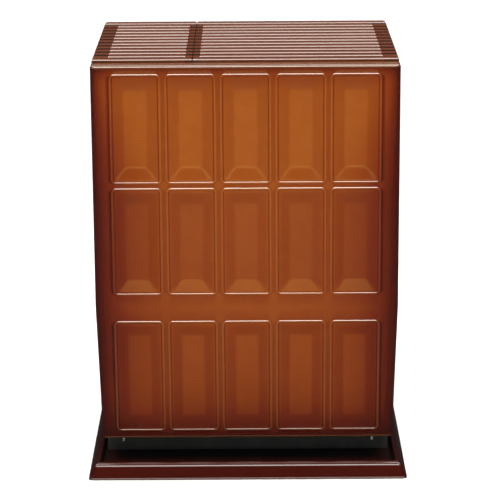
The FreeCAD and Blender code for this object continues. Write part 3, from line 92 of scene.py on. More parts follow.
TILT = math.atan2(LEAN, KNEE - PANEL_BOTTOM)

# Finer shape of the front sheet: height of the beads in each row
BEAD_CRESTS = [1.28 * MM, 1.42 * MM, 1.85 * MM]
# Rounding of a dish in its mitres, at its floor and at its rim, as shares of its depth
MITRE_ROUND = 0.22
FLOOR_ROUND = 0.3
RIM_ROUND = 0.08
# Length of sheet over which the relief turns at the knee, and how far in the flat of the flanges starts
KNEE_TURN = 4 * MM
FLANGE_INSET = FOLD + 0.8 * MM

# Grid of the front sheet: lines over a bead and its ledge, from the edge of its frame
BEAD_LINES = [line * MM for line in (0, 0.5, 1.1, 1.7, 2.3, 3, 3.7, 4.3, 4.9, 5.5, 6,
                                     6.7, 7.5, 8.4, 9.5, 11)]
# Lines down the side of a dish, as shares of the way to its floor, then about the floor's edge and across it
SIDE_SHARES = (0.55, 0.75)
FLOOR_LINES = (-4 * MM, -2 * MM, 0, 2.5 * MM)
FLOOR_STEP = 14 * MM
# Lines round the folds, close beside them and at the knee
FOLD_TURNS = [math.radians(angle) for angle in (0, 12, 26, 42, 58, 74, 90)]
BESIDE_FOLD = 1 * MM
KNEE_LINES = [line * MM for line in (-2, -1, 0, 1, 2)]
# Steps round an upright corner, along the plain margin beside the outer dishes and along a return
CORNER_STEPS = 10
MARGIN_STEPS = 4
RETURN_STEPS = 3

# Tones of the front's glaze, from 0 for its darkest shade to 1 for its lightest
LATTICE_TONE = 0.90
FOLD_TONE = 0.33
BEAD_GAIN = 0.13
# Tones of the dishes in each row: their floor, their sides and their foot; the differences between rows are
# painted shade and painted reflection, with lower floors below the first row, a lighter foot in the second
# and a darker one in the third
DISH_TONES = [(0.98, 0.87, 0.87), (0.85, 0.77, 0.83), (0.90, 0.75, 0.70)]
# Shares of a dish's depth: over which its sides' tone grows, and where its floor's starts and over which
SIDES_BLEND = 0.2
FLOOR_START = 0.78
FLOOR_BLEND = 0.17
# Shares of a dish's end over which its foot's tone grows, from the mitres and from the rim
FOOT_MITRE = 0.25
FOOT_BLEND = 0.15
# Loss of tone beside a bead, mostly painted shade on flanks that face sideways and partly pooled glaze:
# along its sills, inside its uprights, at the panel's sides
SILL_LINE = 0.12
INNER_LINE = 0.36
BORDER_LINE = 0.5
# Width of those lines, and the length over which a sill's line turns into an upright's
LINE_WIDTH = 1.2 * MM
LINE_TURN = 8 * MM
# Share of painted reflection of the pale floor on the beads of each row and on the folded edges
PAINTED_GLINT_BEADS = [0.08, 0.18, 0.36]
PAINTED_GLINT_FOLD = 0.36

# Dark spray at the sides: the tone it leaves, its width, how much wider it gets and over which length
SIDE_LEAST = 0.1
SIDE_SPRAY = 15 * MM
SIDE_WIDENING = 36 * MM
SIDE_LENGTH = 300 * MM
# Share of the widening that is lost again towards the foot
SIDE_NARROWING = 0.55
# Dark spray at the top, and at the foot dark spray with painted shade where the sheet turns down over the
# dark recess: their width and the loss of tone
TOP_SPRAY = 15 * MM
TOP_LOSS = 0.88
FOOT_SPRAY = 40 * MM
FOOT_LOSS = 0.85
# Painted shade that darkens the panel slowly downwards, as the light falls off: its start above the knee,
# its length and the loss
FALL_START = 330 * MM
FALL_LENGTH = 600 * MM
FALL_LOSS = 0.15

# Top grille, as it is packed
SEAM_X = -96.25 * MM
WEB_MIDDLE = 13 * MM
WEB_START = 250.5 * MM
RIB_START = 41 * MM
RIB_HALF = 9 * MM
RIB_PITCH = 406 / 12 * MM

# Tones of the grille's glaze on the ribs of its fields; on the webs, painted light on the rib ends and
# painted shade, near black, in the hollows between them
RIB_TONE = 0.52
RIB_END_PAINTED_LIGHT = 0.62
WEB_PAINTED_SHADE = 0.0
# How far the tones run into each other at the grille's ends, at its seam, and in and out of a rib's end
END_BLEND = 3 * MM
SEAM_BLEND = 2 * MM
RIB_BLEND_IN = 3 * MM
RIB_BLEND_OUT = 2 * MM

# Floor tray, as it is packed
TRAY_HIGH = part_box("floor_tray")[1]
TRAY_HEM = 2.5 * MM
TRAY_LEDGE = 2 * MM
TRAY_SLOPE = 8 * MM
TRAY_SLOPE_TOP = 20.5 * MM
TRAY_SHOULDER = 12.5 * MM
TRAY_BED_INSET = 21.5 * MM
TRAY_CORNER = 9 * MM

# Finer shape of the tray's sheet: how its corners tighten with the inset, down to the least
TRAY_SHEET = 1.4 * MM
TRAY_TIGHTENING = 0.3
TRAY_LEAST_CORNER = 2 * MM
TRAY_CORNER_STEPS = 8
# Rolled hem: inset and height
HEM_LINE = [(0.4 * MM, 0), (0, 0.4 * MM), (0, 1.0 * MM), (0.2 * MM, 1.6 * MM), (0.7 * MM, 2.1 * MM),
            (1.3 * MM, 2.5 * MM), (1.9 * MM, 3.0 * MM), (2.3 * MM, 3.8 * MM)]
# Rings up the sloped rim, as shares of it, and steps round the shoulder
RIM_SHARES = (0.16, 0.4, 0.7, 0.94)
SHOULDER_STEPS = 12
# Lip: how far in from the bed's edge, and height above the tray's top
LIP_LINE = [(-1.0 * MM, -0.2 * MM), (-0.3 * MM, -0.7 * MM), (0, -1.6 * MM)]
# Wall and foot of the bed: how far in from the bed's edge, and height
BED_LINE = [(0, 6 * MM), (0, 3.5 * MM), (0.5 * MM, 2.2 * MM), (2 * MM, SHEET), (4 * MM, SHEET)]

# Tones of the tray's glaze, and painted shade that darkens it along its sides
RIM_TONE = 0.165
LIP_TONE = 0.16
BED_TONE = 0.03
TRAY_SIDE_SHADE = 0.75


def new_piece(name, vertices, faces, body, node):
    """A smooth mesh that stands for a CAD node."""
    mesh = bpy.data.meshes.new(name)
    mesh.from_pydata(vertices, [], faces)
    mesh.validate()
    for polygon in mesh.polygons:
        polygon.use_smooth = True
    piece = bpy.data.objects.new(name, mesh)
    bpy.context.scene.collection.objects.link(piece)
    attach(piece, body)
    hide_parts(node)
    return piece


def store_values(piece, name, values):
    """Keeps a value at each vertex: a tone of the glaze with its painted shade, or a share of painted
    reflection.
    """
    layer = piece.data.attributes.new(name, "FLOAT", "POINT")
    layer.data.foreach_set("value", values)


def thicken(piece, thickness):
    """Gives a sheet its thickness, inwards from its outside."""
    sheet = piece.modifiers.new("sheet", "SOLIDIFY")
    sheet.thickness = thickness
    sheet.offset = -1
    sheet.use_even_offset = True


def ramp_up(value):
    """Smooth step between 0 and 1."""
    value = min(1.0, max(0.0, value))
    return value * value * (3 - 2 * value)


def soft_min(a, b, width):
    """The lesser of two values, rounded where they are within a width of each other."""
    near = max(width - abs(a - b), 0) / width
    return min(a, b) - near * near * width / 4


def lean_share(z):
    """How much of its lean the front has at a height: 0 at the knee and above, 1 at the foot."""
    return max(0.0, (KNEE - z) / (KNEE - PANEL_BOTTOM))


def coffer_rows():
    """Middle of each row, as a distance along the sheet above the knee, and its height."""
    upper = (PANEL_TOP - EDGE_MARGIN - KNEE - KNEE_MARGIN - SPACING) / 2
    lower = SLOPE - EDGE_MARGIN - KNEE_MARGIN
    second = KNEE_MARGIN + upper / 2
    return [(second + upper + SPACING, upper), (second, upper), (-KNEE_MARGIN - lower / 2, lower)]


def column_middles():
    """Middle of each column, across the panel."""
    return [(i - (COLUMNS - 1) / 2) * (COFFER_WIDTH + SPACING) for i in range(COLUMNS)]


def relief(across, along, height, crest, tones, outer_line):
    """How far the sheet stands out in one coffer, the tone of its glaze there with painted shade, and the
    bead's share.
    """
    x, z = abs(across), abs(along)
    half_bead = BEAD_WIDTH / 2
    corner = BEAD_CORNER - half_bead
    out_x = x - (COFFER_WIDTH / 2 - half_bead - corner)
    out_z = z - (height / 2 - half_bead - corner)
    from_crown = math.hypot(max(out_x, 0), max(out_z, 0)) + min(max(out_x, out_z), 0) - corner
    bead = math.cos(math.pi / 2 * min(1, abs(from_crown) / half_bead)) ** 2
    side = (COFFER_WIDTH / 2 - BEAD_WIDTH - DISH_LEDGE - x) / DISH_SIDE
    end = (height / 2 - BEAD_WIDTH - DISH_LEDGE - z) / DISH_END
    dish = soft_min(soft_min(side, end, MITRE_ROUND), 1, FLOOR_ROUND)
    dish = max(0, -soft_min(-dish, 0, RIM_ROUND))
    floor, sides, foot = tones
    tone = LATTICE_TONE + (sides - LATTICE_TONE) * ramp_up(dish / SIDES_BLEND)
    tone += (floor - sides) * ramp_up((dish - FLOOR_START) / FLOOR_BLEND)
    if along < 0:
        tone += (foot - tone) * ramp_up((min(side, 1) - end) / FOOT_MITRE) * ramp_up(end / FOOT_BLEND)
    # Painted shade beside the bead, strongest beside its uprights, partly pooled glaze
    line = math.exp(-((abs(from_crown) - half_bead) / LINE_WIDTH) ** 2)
    upright = ramp_up(0.5 + (out_x - out_z) / LINE_TURN)
    upright_line = INNER_LINE if from_crown < 0 else outer_line
    flank_shade = line * (SILL_LINE + upright * (upright_line - SILL_LINE))
    return crest * bead - DISH_DEPTH * dish, tone + BEAD_GAIN * bead - flank_shade, bead


def panel_relief(x, along):
    """How far the front stands out of its plane, the tone of its glaze with its painted shade, and the share
    of painted reflection.
    """
    for (middle, height), crest, tones, painted_glint in zip(coffer_rows(), BEAD_CRESTS, DISH_TONES, PAINTED_GLINT_BEADS):
        for column in column_middles():
            inside = abs(x - column) <= COFFER_WIDTH / 2 and abs(along - middle) <= height / 2
            if inside:
                at_border = abs(column) > COFFER_WIDTH + 2 * SPACING and (x - column) * column > 0
                outer_line = BORDER_LINE if at_border else SILL_LINE
                out, tone, bead = relief(x - column, along - middle, height, crest, tones, outer_line)
                return out, tone, painted_glint * bead
    return 0.0, LATTICE_TONE, 0.0


def spray_and_shade_tone(x, along):
    """Share of tone left by the dark spray along the panel's borders, widest low down at the sides, and by
    painted shade that darkens the foot and the panel slowly downwards.
    """
    share = max(0.0, -along / SLOPE)
    inward = max(0.0, PANEL_HALF - share * (PANEL_HALF - FOOT_HALF) - abs(x))
    wide = ramp_up((UPRIGHT - along) / SIDE_LENGTH) * (1 - SIDE_NARROWING * ramp_up(share))
    width = SIDE_SPRAY + SIDE_WIDENING * wide
    side = SIDE_LEAST + (1 - SIDE_LEAST) * (1 - math.exp(-inward / width))
    top = 1 - TOP_LOSS * math.exp(-max(0.0, UPRIGHT - along) / TOP_SPRAY)
    # Foot: dark spray with painted shade; fall: painted shade down the panel
    foot = 1 - FOOT_LOSS * math.exp(-max(0.0, along + SLOPE) / FOOT_SPRAY)
    fall = 1 - FALL_LOSS * ramp_up((FALL_START - along) / FALL_LENGTH)
    return side * top * foot * fall


def frame_lines(start, end, bevel):
    """Grid lines from one bead over the dish to the next, close where the sheet is bent."""
    floor = BEAD_WIDTH + DISH_LEDGE + bevel
    edge = BEAD_LINES + [floor * share for share in SIDE_SHARES] + [floor + line for line in FLOOR_LINES]
    room = end - start
    count = max(1, round((room - 2 * edge[-1]) / FLOOR_STEP))
    inner = [edge[-1] + (room - 2 * edge[-1]) * i / count for i in range(1, count)]
    return [start + e for e in edge] + [start + i for i in inner] + [end - e for e in reversed(edge)]


def panel_columns():
    """Grid lines across the panel, over all its columns."""
    lines = []
    for column in column_middles():
        lines += frame_lines(column - COFFER_WIDTH / 2, column + COFFER_WIDTH / 2, DISH_SIDE)
    return lines


def panel_levels():
    """Rings from the lower flange to the top one: distance along the sheet above the knee, and inset."""
    levels = [(-SLOPE, FLANGE_INSET)]
    levels += [(FOLD * (1 - math.sin(t)) - SLOPE, FOLD * (1 - math.cos(t))) for t in reversed(FOLD_TURNS)]
    lines = [FOLD + BESIDE_FOLD - SLOPE, *KNEE_LINES, UPRIGHT - FOLD - BESIDE_FOLD]
    for middle, height in coffer_rows():
        lines += frame_lines(middle - height / 2, middle + height / 2, DISH_END)
    levels += [(line, 0) for line in sorted(lines)]
    levels += [(UPRIGHT - FOLD * (1 - math.sin(t)), FOLD * (1 - math.cos(t))) for t in FOLD_TURNS]
    return levels + [(UPRIGHT, FLANGE_INSET)]


def panel_end(reach, half, front, inset):
    """Right end of a ring from the last column: plain margin, rounded corner and return, as x and y."""
    corner = CORNER - inset
    turns = [math.radians(90 * i / CORNER_STEPS) for i in range(CORNER_STEPS + 1)]
    margin = [reach + (half - corner - reach) * i / MARGIN_STEPS for i in range(1, MARGIN_STEPS)]
    line = [(x, front + inset) for x in margin]
    for turn in turns:
        line.append((half - corner + corner * math.sin(turn), front + inset + corner * (1 - math.cos(turn))))
    steps = range(1, RETURN_STEPS)
    line += [(half, front + CORNER + (RETURN - CORNER) * i / RETURN_STEPS) for i in steps]
    return line + [(half, front + RETURN)]


def panel_ring(along, inset, columns):
    """Outside of the panel at one level from left to right: points, tones with their painted shade, and
    shares of painted reflection.
    """
    z = KNEE + along if along > 0 else KNEE + along * math.cos(TILT)
    share = lean_share(z)
    tilt = TILT * ramp_up(0.5 - along / KNEE_TURN)
    front = FRONT_Y + LEAN * share
    half = PANEL_HALF - share * (PANEL_HALF - FOOT_HALF) - inset
    end = panel_end(columns[-1], half, front, inset)
    points = [Vector((-x, y, z)) for x, y in reversed(end)]
    tones = [LATTICE_TONE] * len(end)
    painted_glints = [0.0] * len(end)
    for x in columns:
        out, tone, painted_glint = (0, LATTICE_TONE, 0) if inset else panel_relief(x, along)
        points.append(Vector((x, front + inset - out * math.cos(tilt), z - out * math.sin(tilt))))
        tones.append(tone)
        painted_glints.append(painted_glint)
    points += [Vector((x, y, z)) for x, y in end]
    tones += [LATTICE_TONE] * len(end)
    painted_glints += [0.0] * len(end)
    if inset:
        return points, [FOLD_TONE] * len(points), [PAINTED_GLINT_FOLD] * len(points)
    return points, [tone * spray_and_shade_tone(point.x, along) for point, tone in zip(points, tones)], painted_glints


def stacked(rings, closed):
    """Vertices and faces of rings on top of each other."""
    count = len(rings[0])
    faces = []
    for level in range(len(rings) - 1):
        for i in range(count if closed else count - 1):
            j = (i + 1) % count
            low, high = level * count, (level + 1) * count
            faces.append((low + i, low + j, high + j, high + i))
    return [point for ring in rings for point in ring], faces


def make_front_panel():
    """Pressed and enamelled front with folded edges, a knee and fifteen framed dishes."""
    columns = panel_columns()
    levels = [panel_ring(along, inset, columns) for along, inset in panel_levels()]
    rings = [points for points, tones, painted_glints in levels]
    vertices, faces = stacked(rings, closed=False)
    count = len(rings[0])
    faces.append(tuple(reversed(range(count))))
    faces.append(tuple(range(len(vertices) - count, len(vertices))))
    piece = new_piece("front_sheet", vertices, faces, "casing", "front_panel")
    store_values(piece, "shade", [tone for points, tones, painted_glints in levels for tone in tones])
    store_values(piece, "painted_glint", [painted_glint for points, tones, painted_glints in levels for painted_glint in painted_glints])
    thicken(piece, SHEET)
    return piece


def tray_ring(inset, z, tone):
    """Rounded rectangle around the tray at one level, with tones darkened along its sides by painted shade.
    """
    half = TRAY_HIGH.x - inset
    deep = TRAY_HIGH.y - inset
    corner = max(TRAY_CORNER - TRAY_TIGHTENING * inset, TRAY_LEAST_CORNER)
    points, tones = [], []
    for quarter in range(4):
        side_x = 1 if quarter in (0, 3) else -1
        side_y = 1 if quarter in (0, 1) else -1
        for i in range(TRAY_CORNER_STEPS + 1):
            turn = math.radians(90 * quarter + 90 * i / TRAY_CORNER_STEPS)
            x = side_x * (half - corner) + corner * math.cos(turn)
            y = side_y * (deep - corner) + corner * math.sin(turn)
            points.append(Vector((x, y, z)))
            # Painted shade along the tray's sides
            tones.append(tone * (1 - TRAY_SIDE_SHADE * math.cos(turn) ** 2))
    return points, tones


def tray_profile():
    """Section of the tray from the hem over the shoulder to the bed: inset, height and tone of the glaze."""
    width, rise = TRAY_SLOPE - TRAY_LEDGE, TRAY_SLOPE_TOP - TRAY_HEM
    lean = math.atan2(width, rise)
    rim = HEM_LINE + [(TRAY_LEDGE + width * share, TRAY_HEM + rise * share) for share in RIM_SHARES]
    for i in range(SHOULDER_STEPS + 1):
        turn = lean + (math.pi / 2 - lean) * i / SHOULDER_STEPS
        inset = TRAY_SLOPE + TRAY_SHOULDER * (math.cos(lean) - math.cos(turn))
        rim.append((inset, TRAY_SLOPE_TOP + TRAY_SHOULDER * (math.sin(turn) - math.sin(lean))))
    section = [(inset, z, RIM_TONE) for inset, z in rim]
    section += [(TRAY_BED_INSET + x, TRAY_HIGH.z + z, LIP_TONE) for x, z in LIP_LINE]
    return section + [(TRAY_BED_INSET + x, z, BED_TONE) for x, z in BED_LINE]


def make_floor_tray():
    """Pressed and enamelled tray with a hem, a sloped rim and a rounded shoulder round its bed."""
    levels = [tray_ring(inset, z, tone) for inset, z, tone in tray_profile()]
    rings = [points for points, tones in levels]
    vertices, faces = stacked(rings, closed=True)
    count = len(rings[0])
    faces.append(tuple(range(len(vertices) - count, len(vertices))))
    piece = new_piece("tray_sheet", vertices, faces, "casing", "floor_tray")
    store_values(piece, "shade", [tone for points, tones in levels for tone in tones])
    thicken(piece, TRAY_SHEET)
    return piece


def new_look(name):
    """An empty material, its node tree and its shader."""
    look = bpy.data.materials.new(name)
    look.use_nodes = True
    return look, look.node_tree, look.node_tree.nodes["Principled BSDF"]


def add_node(tree, kind, inputs, **settings):
    """A node with its settings; an input is a value or another node's output."""
    made = tree.nodes.new(kind)
    for key, value in settings.items():
        setattr(made, key, value)
    for key, value in inputs.items():
        if isinstance(value, bpy.types.NodeSocket):
            tree.links.new(value, made.inputs[key])
        else:
            made.inputs[key].default_value = value
    return made


def place(tree, stretch=(1, 1, 1)):
    """Position on the piece in metres, stretched along its axes."""
    coordinates = add_node(tree, "ShaderNodeTexCoord", {})
    inputs = {"Vector": coordinates.outputs["Object"], "Scale": stretch}
    return add_node(tree, "ShaderNodeMapping", inputs).outputs[0]


def noise(tree, scale, detail=3, stretch=(1, 1, 1), distortion=0.0):
    """Clouds about a middle of 0.5; a larger scale makes them smaller."""
    inputs = {"Vector": place(tree, stretch), "Scale": scale, "Detail": detail, "Distortion": distortion}
    return add_node(tree, "ShaderNodeTexNoise", inputs).outputs[0]


def vertex_value(tree, name):
    """A value that the sheet's vertices keep."""
    return add_node(tree, "ShaderNodeAttribute", {}, attribute_name=name).outputs["Fac"]


def ramp(tree, factor, stops):
    """Colour of a factor, by stops of place and colour."""
    made = add_node(tree, "ShaderNodeValToRGB", {"Fac": factor})
    while len(made.color_ramp.elements) < len(stops):
        made.color_ramp.elements.new(0.5)
    for element, (position, colour) in zip(made.color_ramp.elements, stops):
        element.position = position
        element.color = (*colour, 1)
    return made.outputs[0]


def map_range(tree, value, start, end, low, high, **settings):
    """Low where a value is at its start, high at its end, and between them in between."""
    inputs = {"Value": value, "From Min": start, "From Max": end, "To Min": low, "To Max": high}
    return add_node(tree, "ShaderNodeMapRange", inputs, **settings).outputs[0]


def spread(tree, clouds, low, high):
    """Clouds, which lie mostly between 0.25 and 0.75, as a value from low to high."""
    return map_range(tree, clouds, 0.25, 0.75, low, high)


def math_node(tree, operation, a, b=0.0):
    """One step of arithmetic with two values or outputs."""
    return add_node(tree, "ShaderNodeMath", {0: a, 1: b}, operation=operation).outputs[0]


def roughen(tree, shader, height, strength, depth):
    """Fine relief of a surface; depth in metres."""
    bump = add_node(tree, "ShaderNodeBump", {"Height": height, "Strength": strength, "Distance": depth})
    tree.links.new(bump.outputs[0], shader.inputs["Normal"])


def set_values(shader, **values):
    """Constants of the shader, by the names of its inputs with underscores for spaces."""
    for name, value in values.items():
        shader.inputs[name.replace("_", " ")].default_value = value


def set_links(tree, shader, colour, roughness):
    """Colour and roughness of the shader, from outputs of other nodes."""
    tree.links.new(colour, shader.inputs["Base Color"])
    tree.links.new(roughness, shader.inputs["Roughness"])


# Shades of the glaze from its dark borders to its light middle
GLAZE = [(0.0, (0.016, 0.003, 0.0025)), (0.25, (0.055, 0.0055, 0.0025)), (0.5, (0.12, 0.0155, 0.0035)),
         (0.75, (0.19, 0.037, 0.005)), (1.0, (0.265, 0.069, 0.009))]
# Shades of the grille's browner glaze
BROWN_GLAZE = [(0.0, (0.012, 0.004, 0.0025)), (0.5, (0.075, 0.018, 0.006)), (1.0, (0.17, 0.046, 0.014))]
# Olive colour of the painted reflection of the pale floor
PAINTED_GLINT_COLOUR = (0.14, 0.075, 0.028, 1)


def enamel(name, shade, level, peel, stops=GLAZE):
    """Fired glaze with a faint orange peel; shade is a function that gives its tone, or None where the
    sheet's vertices keep it."""
    look, tree, shader = new_look(name)
    mottle = spread(tree, noise(tree, scale=38, detail=4, distortion=0.6), low=0.97, high=1.03)
    tone = shade(tree) if shade else vertex_value(tree, "shade")
    colour = ramp(tree, math_node(tree, "MULTIPLY", tone, mottle), stops)
    # On the front, mix in the painted reflection of the pale floor where the vertices keep its share
    if not shade:
        inputs = {"Fac": vertex_value(tree, "painted_glint"), "Color1": colour, "Color2": PAINTED_GLINT_COLOUR}
        colour = add_node(tree, "ShaderNodeMixRGB", inputs).outputs[0]
    set_links(tree, shader, colour, spread(tree, noise(tree, scale=90, detail=2), low=0.10, high=0.17))
    set_values(shader, Specular_IOR_Level=level)
    roughen(tree, shader, noise(tree, scale=260, detail=2), strength=peel, depth=0.4 * MM)
    return look


def grille_shade(tree):
    """Tone of the grille's glaze, with painted light on the rib ends and painted shade in the hollows
    between them on the webs at its ends and beside its seam.
    """
    parts = add_node(tree, "ShaderNodeSeparateXYZ", {"Vector": place(tree)})
    along = parts.outputs["X"]
    reach = math_node(tree, "ABSOLUTE", along)
    at_end = map_range(tree, reach, WEB_START - END_BLEND, WEB_START + END_BLEND, 0.0, 1.0)
    from_seam = math_node(tree, "ABSOLUTE", math_node(tree, "SUBTRACT", along, SEAM_X))
    at_seam = map_range(tree, from_seam, WEB_MIDDLE - SEAM_BLEND, WEB_MIDDLE + SEAM_BLEND, 1.0, 0.0)
    web = math_node(tree, "MAXIMUM", at_end, at_seam)
    behind = math_node(tree, "SUBTRACT", parts.outputs["Y"], FRONT_Y + RIB_START)
    from_rib = math_node(tree, "PINGPONG", behind, RIB_PITCH / 2)
    rib_edge = (RIB_HALF - RIB_BLEND_IN, RIB_HALF + RIB_BLEND_OUT)
    # On the webs: painted light on the rib ends, painted shade in the hollows between them
    web_light_and_shade = map_range(tree, from_rib, *rib_edge, RIB_END_PAINTED_LIGHT, WEB_PAINTED_SHADE)
    return map_range(tree, web, 0.0, 1.0, RIB_TONE, web_light_and_shade)


def side_shade(tree):
    """Tone of the side panels' glaze: even, with slow clouds."""
    return spread(tree, noise(tree, scale=5, detail=2), low=0.2, high=0.3)


def worn(name, stops, cloud, rough, grain, **values):
    """A finish with clouded colour, uneven gloss and a fine grain: cloud is scale, detail and distortion,
    rough is the range of roughness, and grain is scale, strength and depth in metres."""
    look, tree, shader = new_look(name)
    scale, detail, distortion = cloud
    grain_scale, strength, depth = grain
    gloss_scale = 3 * scale
    colour = ramp(tree, noise(tree, scale, detail, distortion=distortion), stops)
    set_links(tree, shader, colour, spread(tree, noise(tree, gloss_scale), *rough))
    set_values(shader, **values)
    roughen(tree, shader, noise(tree, grain_scale), strength, depth)
    return look


def galvanised(name):
    """Zinc coat with its spangle of flat crystals."""
    look, tree, shader = new_look(name)
    crystals = add_node(tree, "ShaderNodeTexVoronoi", {"Vector": place(tree), "Scale": 130})
    tone = add_node(tree, "ShaderNodeSeparateColor", {"Color": crystals.outputs["Color"]}).outputs[0]
    stain = spread(tree, noise(tree, scale=14), low=0.75, high=1.0)
    stops = [(0.0, (0.34, 0.35, 0.36)), (0.5, (0.47, 0.48, 0.49)), (1.0, (0.62, 0.63, 0.64))]
    colour = ramp(tree, math_node(tree, "MULTIPLY", tone, stain), stops)
    set_links(tree, shader, colour, spread(tree, tone, low=0.32, high=0.46))
    set_values(shader, Metallic=0.55)
    roughen(tree, shader, noise(tree, scale=700, detail=2), strength=0.25, depth=0.15 * MM)
    return look


def heat_steel(name):
    """Burner steel with the straw, brown and blue tints that heat leaves."""
    look, tree, shader = new_look(name)
    tint = noise(tree, scale=9, detail=4, distortion=0.8)
    stops = [(0.30, (0.16, 0.15, 0.15)), (0.45, (0.26, 0.21, 0.16)),
             (0.56, (0.22, 0.13, 0.09)), (0.70, (0.13, 0.14, 0.20))]
    roughness = spread(tree, noise(tree, scale=60, detail=4), low=0.38, high=0.6)
    set_links(tree, shader, ramp(tree, tint, stops), roughness)
    set_values(shader, Metallic=0.85)
    roughen(tree, shader, noise(tree, scale=420, stretch=(1, 1, 0.15)), strength=0.3, depth=0.2 * MM)
    return look


def rope(name):
    """Braided mineral rope, greyed by soot."""
    look, tree, shader = new_look(name)
    inputs = {"Vector": place(tree), "Scale": 160, "Distortion": 1.5, "Detail": 1.0}
    bands = {"wave_type": "BANDS", "bands_direction": "DIAGONAL"}
    strands = add_node(tree, "ShaderNodeTexWave", inputs, **bands).outputs["Fac"]
    soot = spread(tree, noise(tree, scale=40), low=0.5, high=1.0)
    stops = [(0.0, (0.16, 0.15, 0.13)), (0.5, (0.42, 0.39, 0.34)), (1.0, (0.62, 0.58, 0.5))]
    colour = ramp(tree, math_node(tree, "MULTIPLY", strands, soot), stops)
    set_links(tree, shader, colour, spread(tree, strands, low=0.85, high=0.95))
    roughen(tree, shader, strands, strength=0.8, depth=1.2 * MM)
    return look


def sheet_glass(name, stops, weight, rough, flake):
    """A clear pane or tube with faint clouds in it, of the scale of its flakes."""
    look, tree, shader = new_look(name)
    clouds = noise(tree, flake, detail=4, distortion=1.2)
    set_links(tree, shader, ramp(tree, clouds, stops), spread(tree, clouds, *rough))
    set_values(shader, Transmission_Weight=weight, IOR=1.5)
    roughen(tree, shader, clouds, strength=0.1, depth=0.2 * MM)
    return look


# Plain marks of the dial: how many, the radius of their ring, and half their length and width
DIAL_MARKS = 16
DIAL_RADIUS = 26.5 * MM
MARK_HALF_LENGTH = 2.2 * MM
MARK_HALF_WIDTH = 0.5 * MM


def dial_marks(tree):
    """1 on the marks in a ring round the control rod, and 0 elsewhere."""
    low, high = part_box("control_rod")
    middle = (low + high) / 2
    inputs = {0: place(tree), 1: (middle.x, middle.y, 0)}
    centred = add_node(tree, "ShaderNodeVectorMath", inputs, operation="SUBTRACT").outputs[0]
    parts = add_node(tree, "ShaderNodeSeparateXYZ", {"Vector": centred})
    x, y = parts.outputs["X"], parts.outputs["Y"]
    flat = add_node(tree, "ShaderNodeCombineXYZ", {"X": x, "Y": y}).outputs[0]
    radius = add_node(tree, "ShaderNodeVectorMath", {0: flat}, operation="LENGTH").outputs["Value"]
    inputs = {0: radius, 1: DIAL_RADIUS, 2: MARK_HALF_LENGTH}
    on_ring = add_node(tree, "ShaderNodeMath", inputs, operation="COMPARE").outputs[0]
    angle = math_node(tree, "PINGPONG", math_node(tree, "ARCTAN2", y, x), math.pi / DIAL_MARKS)
    on_mark = math_node(tree, "LESS_THAN", math_node(tree, "MULTIPLY", angle, radius), MARK_HALF_WIDTH)
    return math_node(tree, "MULTIPLY", on_ring, on_mark)


def dial_face(name):
    """Brushed plate with a ring of plain marks."""
    look, tree, shader = new_look(name)
    brushed = noise(tree, scale=60, stretch=(1, 18, 1))
    tone = math_node(tree, "SUBTRACT", brushed, dial_marks(tree))
    stops = [(0.0, (0.015, 0.015, 0.016)), (0.12, (0.02, 0.02, 0.02)),
             (0.3, (0.34, 0.34, 0.34)), (0.7, (0.48, 0.48, 0.47))]
    set_links(tree, shader, ramp(tree, tone, stops), spread(tree, brushed, low=0.45, high=0.6))
    set_values(shader, Metallic=0.7)
    roughen(tree, shader, brushed, strength=0.15, depth=0.1 * MM)
    return look


